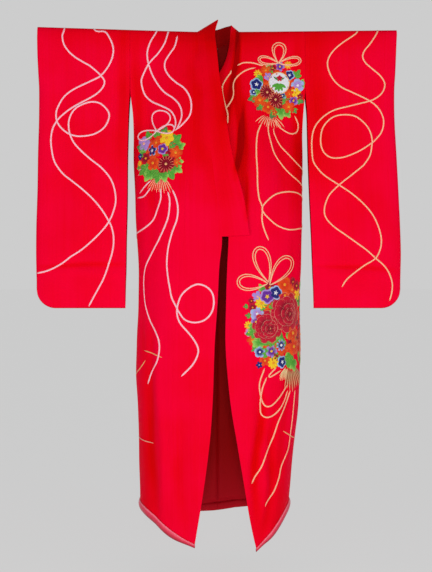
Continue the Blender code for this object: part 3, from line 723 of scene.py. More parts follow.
for side in ("right", "left"):
    even, run = sleeve_rows()
    row = np.sort(np.append(even, CUFF_ROW))
    run = np.interp(row, even, run)[:, None]
    t = np.linspace(0.0, 1.0, ACROSS_POINTS)
    closer_outside = 0.55 * t + 0.45 * np.sin(0.5 * np.pi * t)
    share = np.concatenate([EDGE_SHARES, FIRST_SHARE + (1.0 - FIRST_SHARE) * closer_outside])
    front = sleeve_cloth(side, -row - 1e-6, share[None, :])
    back = sleeve_cloth(side, row, share[None, :])
    turned_in = INNER_TURN * np.exp(-((share * SLEEVE_WIDTH / INNER_TURN_REACH) ** 2)) * (row > 0.5)[:, None]
    front[..., 1] += turned_in
    back[..., 1] -= turned_in
    front_index = np.arange(len(row) * len(share)).reshape(len(row), len(share))
    back_index = front_index + front_index.size
    closed = row >= CUFF_ROW
    back_index[0], back_index[-1] = front_index[0], front_index[-1]
    back_index[closed, -1] = front_index[closed, -1]
    faces = [layer_faces(front_index, side == "left"), layer_faces(back_index, side == "right")]
    used, numbered = np.unique(np.concatenate(faces), return_inverse=True)
    points = np.concatenate([front.reshape(-1, 3), back.reshape(-1, 3)])
    # Painted shade on the sleeves, from the lines of painted shade.
    tone = painted_shade_amount(points, 0.0)
    width = np.broadcast_to(share * SLEEVE_WIDTH, front.shape[:2])
    uv = [np.stack([width, np.broadcast_to(along, width.shape)], axis=-1) for along in (-run, run)]
    faces, uv = numbered.reshape(-1, 4), np.concatenate(uv).reshape(-1, 2)[used]
    piece = new_piece(side + "_sleeve_cloth", points[used], faces, uv, SILK, tone[used])
    give_wall(piece, CLOTH, LINING)
    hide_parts(side + "_sleeve")

# ------------------------------------------------------------------------------------------- the collar
# One folded band of crepe runs from its end on the right front, up round the neck, and down to its end on
# the left front. It stands up behind the neck, and the right side crosses over the left at the chest.

# Free edge of the band, a row for each level: its x, how far it stands off the drape, and its rise.
COLLAR_EDGE = {
    ("right", "front"): [
        (1.8, -6, 47), (-4, 6, 24), (-9, 10, 10), (-8.5, 11, 4), (-6.2, 12, 2), (0.2, 10, 0), (6, 9, 0),
        (15.5, 8, 0), (27.5, 8, 0), (36, 8, 0), (56, 7, 0), (92.5, 5, 2), (114, 3, 5),
    ],
    ("left", "front"): [
        (49, -18, 29), (47.5, -24, 20), (45.5, -30, 14), (44, -34, 6), (41.5, -35, 2), (29, -22, 0),
        (3, -6, 0), (-22, 0, 0), (-35, 0, 0), (-45, 0, 0), (-52, 0, 0), (-58, 0, 0), (-60, 0, 0),
    ],
    ("right", "back"): [
        (1.8, 6, 47), (-14, 12, 40), (-25, 12, 41), (-18, 12, 50), (4, 12, 70),
    ],
    ("left", "back"): [
        (49, 18, 29), (50, 16, 36), (44, 14, 48), (28, 12, 62), (4, 12, 70),
    ],
}
COLLAR_EDGE = {part: table("| reach out rise", rows) for part, rows in COLLAR_EDGE.items()}
BAND = 0.0042  # thickness of the folded band at its free edge; at its seam it is as thin as the cloth
BAND_PROUD = 0.0004  # how far it lies off the cloth under it
BAND_WIDTH = 0.11  # round both its faces, for the weave
BAND_PITCH = 0.006
BAND_EDGE = 0.95  # share of the width past which the free edge is rounded
BAND_PAINTED_SHADE = 0.92  # its share of the painted shade
HALF_WAY = 8  # point across the band where its length is measured


def band_values(side, row):
    """Seam x, free edge x, how far the free edge stands forward or back in y, and its rise, at rows."""
    front, back = COLLAR_EDGE[side, "front"], COLLAR_EDGE[side, "back"]
    neck = SIGN[side] * LEVELS["neck"][1 : NECK_BACK + 1]
    columns = [np.concatenate([LEVELS["edge_" + side][COLLAR_END::-1], neck])]
    for name, forward in (("reach", 1.0), ("out", -1.0), ("rise", 1.0)):
        columns.append(np.concatenate([forward * front[name][COLLAR_END::-1], back[name][1:]]))
    return (between(column, row + COLLAR_END) for column in columns)


def collar_surface(side, row, share):
    """Points across the band: the body's surface from seam to free edge, moved off and up with the share."""
    seam, reach, off, rise = (column[:, None] for column in band_values(side, row))
    x = seam + share * (reach - seam)
    turns = turn_at(side, row[:, None], SIGN[side] * x)
    points = body_cloth(side, row, turns[:, ::-1])[0][:, ::-1].copy()
    points[..., 1] += share * off
    points[..., 2] += share * rise
    return points


def tube_faces(stations, around):
    """Faces of a tube numbered station by station: its wall, then a cap on its first and its last end."""
    index = np.arange(stations * around).reshape(stations, around)
    wall = layer_faces(np.concatenate([index, index[:, :1]], axis=1), False)
    k = np.arange(around // 2 - 1)
    cap = np.stack([k, k + 1, around - k - 2, around - k - 1], axis=-1)
    return np.concatenate([wall, cap[:, ::-1], cap + (stations - 1) * around])


def inner_finish(piece, stations, inner):
    """Face the inner part of a tube's wall with the lining, station by station."""
    piece.data.materials.append(LINING)
    facing_in = np.zeros(len(piece.data.polygons), dtype=np.int32)
    facing_in[: (stations - 1) * len(inner)] = np.tile(inner, stations - 1)
    piece.data.polygons.foreach_set("material_index", facing_in)


NECK_JOIN = 12  # rows on each side of the back seam that are evened out, so the halves join smoothly
EVENED_TIMES = 20
front_rows, back_rows = even_rows("left", -COLLAR_END, 0.0, BAND_PITCH)[0], np.linspace(0.0, NECK_BACK, 26)
row = np.concatenate([front_rows, back_rows[1:]])
share = np.concatenate([[0.0, 0.001], np.linspace(0.03, 0.94, 13), [0.965, 0.985, 0.995, 1.0]])
half_bands = [collar_surface(side, row, share[None, :]) for side in ("right", "left")]
half_bands[0][-1] = half_bands[1][-1] = 0.5 * (half_bands[0][-1] + half_bands[1][-1])
band = np.concatenate([half_bands[0], half_bands[1][-2::-1]])
first, last = len(row) - 1 - NECK_JOIN, len(row) + NECK_JOIN
for _ in range(EVENED_TIMES):
    evened = 0.5 * (band[first - 1 : last - 1] + band[first + 1 : last + 1])
    band[first:last] += 0.5 * share[None, :, None] * (evened - band[first:last])
normal = facing(band)
ring = np.concatenate([share, share[-2::-1]])
column = np.concatenate([np.arange(len(share)), np.arange(len(share) - 2, -1, -1)])
thick = CLOTH + (BAND - CLOTH) * smooth_step(ring / 0.5)
rounded = np.sqrt(1.0 - np.clip((ring - BAND_EDGE) / (1.0 - BAND_EDGE), 0.0, 1.0) ** 2) * thick
outside = np.arange(len(ring)) < len(share)
depth = 0.5 * np.where(outside, thick - rounded, thick + rounded) - BAND_PROUD * smooth_step(ring / 0.2)
tube = band[:, column] - normal[:, column] * depth[None, :, None]
run = run_along(band[:, HALF_WAY])[:, None]
uv = np.stack(np.broadcast_arrays(ring * BAND_WIDTH, run), axis=-1).reshape(-1, 2)
# Painted shade on the band, a little less than on the cloth under it.
tone = BAND_PAINTED_SHADE * painted_shade_amount(tube, 0.0)
faces = tube_faces(*tube.shape[:2])
collar = new_piece("collar_band", tube.reshape(-1, 3), faces, uv, SILK, tone)
inner_finish(collar, len(tube), ~outside)
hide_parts("collar")

# ------------------------------------------------------------------------------------- the back's lining
# Dark red plain silk lines the back from below the neck to just above the hem; it shows through the open
# front.
# Its colour holds painted shade and light: darker above, and brighter near the hem where light comes in.

LINING_TOP, LINING_END = 5, HEM - 0.15  # rows of LEVELS
LINING_CLOTH = 0.0012
LINING_PITCH = 0.009
LINING_SHARES = np.linspace(0.0, 0.97, 34)  # of the width, short of the side seam
UNDER = CLOTH + 0.0004
for side in ("right", "left"):
    row, run = even_rows(side, LINING_TOP, LINING_END, LINING_PITCH)
    start, end = inner_turn(side, row)[:, None], side_turn(row)[:, None]
    turns = start + LINING_SHARES * (end - start)
    points, normal, s, _ = body_cloth(side, row, turns)
    points = points - normal * UNDER
    name = side + "_lining_cloth"
    piece = lay_grid(name, side, points, s, run, LINING, LINING_CLOTH)
    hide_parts(side + "_back_lining")

# ---------------------------------------------------------------------------------------- the hem padding
# The fuki, a roll of rose red satin round soft wadding, is sewn under the whole hem. It thins out towards
# the front corners, and the satin puckers finely along its seam.

ROLL_HEIGHT = 0.030
ROLL_PITCH = 0.0035  # spacing of the roll's stations
# Length, size and shift of each wave of puckers.
PUCKERS = ((0.0085, 0.5, 0.3), (0.0131, 0.6, 1.9), (0.0233, 0.7, 4.1), (0.047, 0.9, 2.2))
PUCKER_SIZE, SWELL_SIZE, SWELL_LENGTH = 0.028, 0.035, 0.043  # shares of the height, and the swell's length
ROLL_THIN, ROLL_THIN_LENGTH = 0.45, 0.12  # share of its height at the front corner, and how soon it is full
ROLL_SUNK = 0.0004  # how far its top lies under the cloth's edge
ROLL_POINTS = 24  # points round its section
ROLL_SECTION = table(  # outwards from the cloth and downwards, in thousandths of the roll's height
    "| out down",
    [
        (20, 0), (130, 140), (190, 450), (120, 800), (-50, 1000), (-260, 800), (-330, 450), (-240, 100),
    ],
)


def roll_satin():
    """Rose satin: a painted highlight in pale pink along the seam and painted shade deeper down, with fine
    puckers across and a soft gloss.
    """
    finish = material("rose_satin", (214, 44, 76), 0.38, 0.35, sheen=0.15, sheen_tint=(255, 150, 170))
    uv = along_cloth(finish)
    down = add_node(finish, "SeparateXYZ", Vector=uv).outputs["X"]
    puckers = uneven(finish, uv, 3.0, stretch=(6.0, 160.0))
    # Painted highlight just under the seam, and painted shade darkening down the roll and onto its inner
    # face.
    dyed = colour_steps(
        finish, multiply_add(finish, puckers, 0.22, down),
        [
            (0.08, (238, 50, 84)), (0.17, (252, 132, 152)), (0.30, (232, 58, 88)), (0.62, (206, 34, 62)),
            (0.95, (150, 8, 30)),
        ],
    )
    join(finish, "Base Color", dyed)
    raised(finish, puckers, 0.5, 0.0008)
    return finish


SATIN = roll_satin()
for side in ("right", "left"):
    front_row, back_row = np.array([-float(HEM)]), np.array([float(HEM)])
    front_turns = np.linspace(edge_turn(side, front_row)[0], side_turn(front_row)[0], 240)[None, :]
    back_turns = np.linspace(side_turn(back_row)[0], 0.0, 160)[None, 1:]
    path = []
    for at_row, at_turns in ((front_row, front_turns), (back_row, back_turns)):
        rows_near = at_row + np.sign(at_row) * np.array((-0.02, -0.01, 0.0))
        if at_row[0] < 0:
            rows_near = rows_near[::-1]
        grid = body_cloth(side, rows_near, np.repeat(at_turns, 3, axis=0))[0]
        path.append(grid[0] if at_row[0] < 0 else grid[-1])
    path = np.concatenate(path)
    run = run_along(path)
    even = np.linspace(0.0, run[-1], int(run[-1] / ROLL_PITCH))
    path = np.stack([np.interp(even, run, path[:, k]) for k in range(3)], axis=-1)
    along = np.gradient(path, axis=0)
    along[:, 2] = 0.0
    out = np.cross(unit(along), (0.0, 0.0, 1.0)) * SIGN[side]
    smoothed = out.copy()
    for _ in range(40):
        smoothed[1:-1] = 0.25 * (smoothed[:-2] + smoothed[2:]) + 0.5 * smoothed[1:-1]
    smoothed[-1] = (0.0, 1.0, 0.0)
    out = unit(smoothed)
    size = ROLL_THIN + (1.0 - ROLL_THIN) * smooth_step(even / ROLL_THIN_LENGTH)
    corners = np.arange(ROLL_POINTS) * len(ROLL_SECTION["out"]) / ROLL_POINTS
    wrapped = {name: np.concatenate([v[-2:], v, v[:3]]) for name, v in ROLL_SECTION.items()}
    out_part, down_part = (between(wrapped[name], corners + 2.0) for name in ("out", "down"))
    pucker = sum(
        amount * np.sin(2 * np.pi * even / length + shift + 1.3 * np.sin(even / 0.031))
        for length, amount, shift in PUCKERS
    )[:, None]
    near_seam = np.exp(-(((down_part - 0.16) / 0.30) ** 2)) * (out_part > 0.0)
    swell = 1.0 + SWELL_SIZE * np.sin(even / SWELL_LENGTH + 1.0)[:, None]
    swell = swell + PUCKER_SIZE * pucker * (0.35 + near_seam)
    reach = ROLL_HEIGHT * size[:, None] * swell
    points = path[:, None, :] + (reach * out_part)[..., None] * out[:, None, :]
    points[:, :, 2] -= ROLL_HEIGHT * size[:, None] * down_part[None, :] + ROLL_SUNK
    faces = tube_faces(len(even), ROLL_POINTS)
    if side == "right":
        faces = faces[:, ::-1]
    inner_face = smooth_step((0.02 - out_part) / 0.08)
    uv = np.stack(np.broadcast_arrays(np.maximum(down_part * 0.9, inner_face), even[:, None]), axis=-1)
    points, uv = points.reshape(-1, 3), uv.reshape(-1, 2)
    roll = new_piece(side + "_hem_padding", points, faces, uv, SATIN)
    inner_finish(roll, len(even), out_part < 0.02)
    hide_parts(side + "_hem_roll")

# --------------------------------------------------------------------------------- the embroidery's ground
# The embroidery is worked on the sewn robe, so each part is drawn flat and then laid on the cloth. A chart
# of each side and each sleeve gives the finished surface at even distances across and up.

CHART_STEP = 0.005
CHART_LOW, CHART_HIGH = -1.90, 0.12  # heights that the charts cover
CM = 0.01
BEHIND = 8  # rows of LEVELS the charts go down behind


def chart(points, normals, across, sign, behind):
    """Cloth resampled at even heights. Behind the shoulder fold the height goes on rising by as much as the
    cloth goes down again, so a drawing can run over the fold."""
    height = points[..., 2]
    top = height[~behind][-1]
    height = np.where(behind[:, None], 2.0 * top - height, height)
    even = np.arange(CHART_LOW, CHART_HIGH, CHART_STEP)
    cloth = np.concatenate([points, normals], axis=2)
    columns = [
        np.stack([np.interp(even, height[:, n], cloth[:, n, k]) for k in range(6)], axis=-1)
        for n in range(len(across))
    ]
    return {"cloth": np.stack(columns, axis=1), "across": across[0], "up": even[0], "sign": sign}


def body_chart(side):
    """Chart of one side of the body. Its distance across is measured round the section from the middle."""
    row = even_rows(side, -HEM, BEHIND, CHART_STEP)[0]
    across = np.arange(-0.12, 0.50, CHART_STEP)
    turns = np.array([np.interp(across, run, TURNS) for run in girth(side, row)])
    sewn = (level("height", row) > SIDE_CLOSED)[:, None]
    turns = np.where(sewn, np.minimum(turns, side_turn(row)[:, None] - 0.6), turns)
    points, normals = body_cloth(side, row, turns)[:2]
    return chart(points, normals, across, SIGN[side], row >= 0.0)


def sleeve_chart(side):
    """Chart of one sleeve, its front face and the first rows behind. Its distance across is x."""
    last = len(SLEEVES["height"]) - 1.0
    row = np.concatenate([-np.linspace(last, 1e-6, 420), np.linspace(0.0, BEHIND, 120)[1:]])
    across = np.arange(0.315, 0.675, CHART_STEP)
    place = np.abs(row)
    inner, outer = (between(SLEEVES[name + side], place)[:, None] for name in ("inner_", "outer_"))
    share = np.clip((across - inner) / (outer - inner), 0.0, 1.0)
    points = sleeve_cloth(side, row, share)
    points[..., 0] = SIGN[side] * across
    return chart(points, facing(points, SIGN[side]), across, SIGN[side], row >= 0.0)


BODY = {side: body_chart(side) for side in SIGN}
SLEEVE = {side: sleeve_chart(side) for side in SIGN}


def lay_on(ground, drawn, lift):
    """Put drawn points (across, up) on a chart, at a height off the cloth. Also gives the normals there."""
    cloth = ground["cloth"]
    place = (drawn[..., 1] - ground["up"], drawn[..., 0] * ground["sign"] - ground["across"])
    place = [np.clip(v / CHART_STEP, 0.0, size - 1.001) for v, size in zip(place, cloth.shape)]
    row, column = (value.astype(int) for value in place)
    up, over = (value[..., None] - value[..., None].astype(int) for value in place)
    low = cloth[row, column] * (1.0 - over) + cloth[row, column + 1] * over
    high = cloth[row + 1, column] * (1.0 - over) + cloth[row + 1, column + 1] * over
    found = low * (1.0 - up) + high * up
    normal = unit(found[..., 3:])
    return found[..., :3] + normal * np.asarray(lift)[..., None], normal


SEEN_SHARE = 0.965  # share of the half width past which the front view ends
ROUND_EXTRA, ROUND_LENGTH = 1.5, 0.01  # extra distance for the first length past it, as a share


def round_the_side(ground, drawn):
    """Turn the widths of a drawing made from the front into distances round the body, at each height. Near
    the side, where the front view ends, they run on round it."""
    drawn = np.array(drawn, dtype=float)
    seen = ground["cloth"][..., 0] * ground["sign"]
    columns = ground["across"] + CHART_STEP * np.arange(seen.shape[1])
    flat = drawn.reshape(-1, 2)
    for n, (wide, height) in enumerate(flat):
        row = seen[int(np.clip((height - ground["up"]) / CHART_STEP, 0, len(seen) - 1))]
        last = int(np.argmax(row > SEEN_SHARE * row.max()))
        wide = wide * ground["sign"]
        beyond = max(wide - row[last], 0.0)
        flat[n, 0] = np.interp(min(wide, row[last]), row[: last + 1], columns[: last + 1])
        flat[n, 0] = ground["sign"] * (flat[n, 0] + ROUND_EXTRA * min(beyond, ROUND_LENGTH) + beyond)
    return flat.reshape(drawn.shape)


ROUTE_STEP = 0.004


def smooth_route(points):
    """Carry a smooth curve through given points and place even stations along it."""
    fine = between(np.array(points, dtype=float), np.linspace(0.0, len(points) - 1.0, 40 * len(points)))
    run = run_along(fine)
    even = np.linspace(0.0, run[-1], max(4, int(run[-1] / ROUTE_STEP)))
    return np.stack([np.interp(even, run, fine[:, k]) for k in range(2)], axis=-1)


# ------------------------------------------------------------------------------------ threads and stitches
# Cords of silver and gold wrapped thread are couched down. Petals and leaves are worked over padding in
# satin stitch, with untwisted silk in many colours, and lie 1 to 6 mm proud.

COLOURS = {
    "lilac": (178, 142, 216), "green": (88, 172, 58), "light_green": (158, 214, 96),
    "dark_green": (92, 134, 84), "yellow": (252, 206, 36), "amber": (246, 160, 40),
    "orange": (244, 86, 20), "orange_red": (230, 58, 16), "crimson": (204, 6, 48),
    "deep_crimson": (146, 2, 36), "navy": (28, 36, 118), "white": (238, 236, 244),
    "purple": (108, 42, 156), "light_blue": (164, 192, 236), "pink": (240, 140, 170),
    "gold": (248, 178, 120), "beige": (228, 190, 140), "silver": (255, 196, 210),
    "blush": (250, 176, 150), "straw": (255, 206, 140), "cream": (255, 232, 170), "brown": (176, 96, 52),
    "dark_crimson": (128, 0, 24),
}
COLOUR = {name: np.array(srgb(*mixed)[:3]) for name, mixed in COLOURS.items()}
BETWEEN_STITCHES = (223.3, 223.3, 223.3)  # the shade that darkens the ribs' hollows


def thread_silk():
    """Coloured silk in satin stitch: fine ribs along each petal, a little darker between, a soft gloss."""
    finish = material("coloured_silk", (230, 80, 40), 0.48, specular=0.14, sheen=0.10)
    stitches = ribs(finish, along_cloth(finish), 300.0, 2.5)
    dyed = add_node(finish, "Attribute", {"attribute_name": "thread"}).outputs["Color"]
    shade = colour_steps(finish, stitches, [(0.0, BETWEEN_STITCHES), (0.6, (255, 255, 255))])
    settings = {"data_type": "RGBA", "blend_type": "MULTIPLY"}
    mixed = add_node(finish, "Mix", settings, Factor=1.0, n6=dyed, n7=shade)
    join(finish, "Base Color", mixed.outputs[2])
    raised(finish, stitches, 0.5, 0.0003)
    return finish


def wrapped_thread(name, light, dark):
    """Metal strip wrapped round a silk core, with painted shade: darker slanted bands between its turns, at
    even distances.
    """
    finish = material(name, light, 0.40, specular=0.20)
    slanted = add_node(finish, "Mapping", Vector=along_cloth(finish), Rotation=(0.0, 0.0, 0.9))
    turns = ribs(finish, slanted.outputs["Vector"], 110.0, 1.2)
    # Painted shade: the dark colour fills the hollows between the turns of the wrap.
    join(finish, "Base Color", colour_steps(finish, turns, [(0.0, dark), (0.28, light), (1.0, light)]))
    raised(finish, turns, 0.6, 0.0006)
    return finish


THREADS = {
    "coloured_silk_thread": thread_silk(),
    "gold_thread": wrapped_thread("gold_thread", (255, 200, 162), (240, 120, 74)),
    "silver_thread": wrapped_thread("silver_thread", (255, 208, 218), (240, 122, 150)),
}
STITCHED = {}  # piece and thread to the tubes and petals worked in it, as points, faces, uv and colours


def stitch(piece, thread, points, faces, uv, colours):
    """Keep some worked tubes or petals for the piece that they are part of."""
    STITCHED.setdefault((piece, thread), []).append((points, faces, uv, colours))


def tubes(piece, thread, ground, routes, half_width, half_height, lift, colour="gold", sides=8):
    """Flattened tubes along drawn routes of equal numbers of stations (tube, station, across and up), with
    thin ends. Their undersides sink a little into the cloth."""
    centre, normal = lay_on(ground, routes, lift)
    lay_tubes(piece, thread, centre, normal, half_width, half_height, colour, sides)


END_SLIM, END_STATIONS = 0.35, 2.5  # share of the thickness at a tube's end, and stations to its full one


def lay_tubes(piece, thread, centre, normal, half_width, half_height, colour="gold", sides=8):
    """Flattened tubes along points in space (tube, station), flat side along the normals given."""
    count, stations = centre.shape[:2]
    along = unit(np.gradient(centre, axis=1))
    across = np.cross(normal, along)
    angle = 2.0 * np.pi * np.arange(sides) / sides
    end = np.minimum(np.arange(stations), np.arange(stations)[::-1])
    slim = (END_SLIM + (1.0 - END_SLIM) * smooth_step(end / END_STATIONS))[None, :, None, None]
    offset = across[:, :, None] * (np.cos(angle) * half_width)[:, None]
    offset = offset + normal[:, :, None] * (np.sin(angle) * half_height)[:, None]
    points = centre[:, :, None] + offset * slim
    uv = np.stack(np.broadcast_arrays(angle * half_width, run_along(centre)[..., None]), axis=-1)
    faces = tube_faces(stations, sides) + (np.arange(count) * stations * sides)[:, None, None]
    dyed = np.broadcast_to(COLOUR[colour], (count * stations * sides, 3))
    stitch(piece, thread, points.reshape(-1, 3), faces.reshape(-1, 4), uv.reshape(-1, 2), dyed)


PETAL = "across up angle length half_width belly point lift dome base tip"
OUTLINE_STEPS = np.array((0.0, 0.09, 0.26, 0.46, 0.66, 0.84, 0.95, 1.0))[:, None]  # shares along a petal
WIDTH_STEPS = np.array((1.0, 0.55, 0.0, -0.55, -1.0))  # shares of its half width
PETAL_SUNK = 0.0009  # how far its edge sinks into the cloth
PETAL_LEAST = 0.04  # share of its half width left at its ends
BASE_END, BLEND = 0.42, 0.40  # share along it where the base's colour ends, and over which the tip's begins


def turned(across, up, angle, forward, sideways):
    """Drawn points forward and sideways of a place, all turned round it by an angle in degrees."""
    angle = np.radians(angle)
    x = across + forward * np.cos(angle) - sideways * np.sin(angle)
    return np.stack([x, up + forward * np.sin(angle) + sideways * np.cos(angle)], axis=-1)


def petals(piece, ground, rows):
    """Domed satin-stitch patches, a row each as PETAL names. The outline swells to its belly and closes,
    round or pointed; the colour runs from the base to the tip and edge; the edge sinks into the cloth."""
    value = {name: np.array([row[n] for row in rows])[:, None, None] for n, name in enumerate(PETAL.split())}
    t, w = OUTLINE_STEPS, WIDTH_STEPS
    outline = np.maximum(1.0 - (2.0 * t ** value["belly"] - 1.0) ** 2, 0.0) ** value["point"]
    outline = np.maximum(outline, PETAL_LEAST)
    sideways = w * value["half_width"] * outline
    forward = t * value["length"]
    drawn = turned(value["across"], value["up"], value["angle"], forward, sideways)
    crown = (1.0 - np.abs(w) ** 2.5) * np.minimum(outline * 1.6, 1.0)
    lift = value["lift"] + value["dome"] * crown - PETAL_SUNK * (1.0 - crown)
    points = lay_on(ground, drawn, lift)[0]
    towards_edge = np.maximum(t, 0.8 * np.abs(w) * smooth_step(t / 0.5))
    share = smooth_step((towards_edge - BASE_END) / BLEND)[..., None]
    dyed = value["base"] * (1.0 - share) + value["tip"] * share
    uv = np.stack(np.broadcast_arrays(sideways, forward), axis=-1)
    count, rows_each, columns = points.shape[:3]
    faces = grid_faces(rows_each, columns) + (np.arange(count) * rows_each * columns)[:, None, None]
    points, dyed = points.reshape(-1, 3), dyed.reshape(-1, 3)
    stitch(piece, "coloured_silk_thread", points, faces.reshape(-1, 4), uv.reshape(-1, 2), dyed)


def ring_of(count, across, up, length, half_width, belly, point, lift, dome, base, tip, spin=90.0):
    """Rows of petals set evenly round a centre."""
    shape = (length, half_width, belly, point, lift, dome, COLOUR[base], COLOUR[tip])
    return [(across, up, angle, *shape) for angle in spin + 360.0 * np.arange(count) / count]


DOT_DOME = 0.0009


def dot(across, up, radius, lift, colour, edge=None):
    """A round padded patch, as one row."""
    dyed = (COLOUR[colour], COLOUR[edge or colour])
    return [(across - radius, up, 0.0, 2 * radius, radius, 1.0, 0.5, lift, DOT_DOME, *dyed)]


def outline_routes(across, up, angle, length, half_width, belly, point, stations=15):
    """Drawn lines round the edges of petals that share a centre: out along one edge and back the other."""
    t = 0.5 - 0.5 * np.cos(np.linspace(0.0, 2.0 * np.pi, stations))
    side = np.where(np.arange(stations) <= stations // 2, 1.0, -1.0)
    out = np.maximum(1.0 - (2.0 * t**belly - 1.0) ** 2, 0.0) ** point * half_width * side
    return turned(across, up, np.asarray(angle, dtype=float)[:, None], t * length, out)


# Rings of a peony from the outermost: petals, reach and width in radii, lift, how far aside in radii.
PEONY_RINGS = (
    (9, 1.0, 0.34, 0.0, 0.0), (7, 0.74, 0.32, 0.0008, -0.07),
    (6, 0.52, 0.25, 0.0015, 0.10), (4, 0.30, 0.2, 0.0021, 0.14),
)


def flower(piece, ground, kind, across, up, radius, spin, lift, colour):
    """Work one flower or leaf of a kind, in metres. The plain kinds differ in number and shape of petals."""
    main, inner, centre = colour
    a, b, r = across, up, radius

    def lines(routes, half_width, half_height, height, dye, sides=4):
        """Fine thread lines over the petals."""
        size = (half_width, half_height, lift + height)
        tubes(piece, "coloured_silk_thread", ground, routes, *size, dye, sides)

    if kind == "plum":
        rows = ring_of(5, a, b, r, 0.46 * r, 1.5, 0.5, lift, 0.0008, inner, main, spin)
        rows += dot(a, b, 0.20 * r, lift + 0.0009, centre)
    elif kind == "star":
        rows = ring_of(5, a, b, r, 0.50 * r, 1.5, 0.45, lift, 0.0006, main, main, spin)
        rows += ring_of(5, a, b, 0.84 * r, 0.38 * r, 1.5, 0.6, lift + 0.0007, 0.0005, inner, inner, spin)
        rows += ring_of(5, a, b, 0.36 * r, 0.09 * r, 1.0, 0.8, lift + 0.0013, 0.0003, centre, centre, spin)
    elif kind == "daisy":
        rows = ring_of(9, a, b, r, 0.24 * r, 1.5, 0.5, lift, 0.0007, inner, main, spin)
        rows += dot(a, b, 0.26 * r, lift + 0.0009, centre)
    elif kind == "leaf":
        rows = []
        for swing, long, wide in ((-42.0, 0.74, 0.26), (42.0, 0.74, 0.26), (0.0, 1.0, 0.30)):
            shape = (2 * r * long, 2 * r * wide, 0.95, 0.75)
            rows += ring_of(1, a, b, *shape, lift, 0.0007, inner, main, spin + swing)
        veins = outline_routes(a, b, [spin, spin - 42.0, spin + 42.0], 1.5 * r, 0.0, 1.0, 1.0, 9)
        lines(veins[:, :5], 0.0006, 0.0005, 0.0010, centre)
    elif kind == "chrysanthemum":
        rows = dot(a, b, 0.92 * r, lift, "dark_crimson")
        rows += ring_of(15, a, b, r, 0.11 * r, 2.2, 0.5, lift + 0.0008, 0.0006, main, inner, spin)
        rays = outline_routes(a, b, spin + 24.0 * np.arange(15), r, 0.0, 1.0, 1.0, 9)
        lines(rays[:, 2:5], 0.0010, 0.0009, 0.0019, "straw")
        rows += dot(a, b, 0.15 * r, lift + 0.0019, centre)
    elif kind == "peony":
        rows = []
        for count, reach, wide, level_up, aside in PEONY_RINGS:
            u, v, turn = a + aside * r, b - 0.7 * aside * r, spin + 17.0 * count
            shape = (reach * r, wide * r, 1.7, 0.42)
            rows += ring_of(count, u, v, *shape, lift + level_up, 0.0008, inner, main, turn)
            each = turn + 360.0 / count * np.arange(count)
            edges = outline_routes(u, v, each, *shape, 19)
            veins = outline_routes(u, v, each + 5.0, 0.8 * reach * r, 0.0, 1.0, 1.0, 9)
            lines(edges[:, 6:13], 0.0005, 0.0005, level_up + 0.0009, "blush")
            lines(veins[:, 2:5], 0.0004, 0.0004, level_up + 0.0013, "blush")
        rows += dot(a + 0.12 * r, b - 0.08 * r, 0.08 * r, lift + 0.0028, inner, centre)
    elif kind == "medallion":
        rows = dot(a, b, r, lift, "white")
        rim = np.radians(np.linspace(-95.0, 270.0, 41))
        circle = np.stack([a + 0.99 * r * np.cos(rim), b + 0.99 * r * np.sin(rim)], axis=-1)
        lines(circle[None], 0.0013, 0.0009, 0.0006, "straw", 6)
        for swing in (-150.0, -118.0, -90.0, -62.0, -30.0):
            blade = (0.78 * r, 0.16 * r, 1.2, 0.7)
            rows += ring_of(1, a, b, *blade, lift + 0.0012, 0.0007, "green", "green", swing)
        bloom = (0.30 * r, 0.12 * r, 1.2, 0.6)
        rows += ring_of(5, a + 0.06 * r, b + 0.44 * r, *bloom, lift + 0.0016, 0.0006, "crimson", "crimson")
        for swing in (150.0, 28.0):
            sprig = (0.62 * r, 0.11 * r, 1.0, 0.8, lift + 0.0012, 0.0006)
            rows += ring_of(1, a, b + 0.24 * r, *sprig, "dark_green", "dark_green", swing)
    petals(piece, ground, rows)


# --------------------------------------------------------------------------------------- the long cords
# Cords of silver wrapped thread wander over the right side and sleeve, and of gold over the left. They are
# couched flat on the sewn robe, and each one lies over the cords that it crosses.

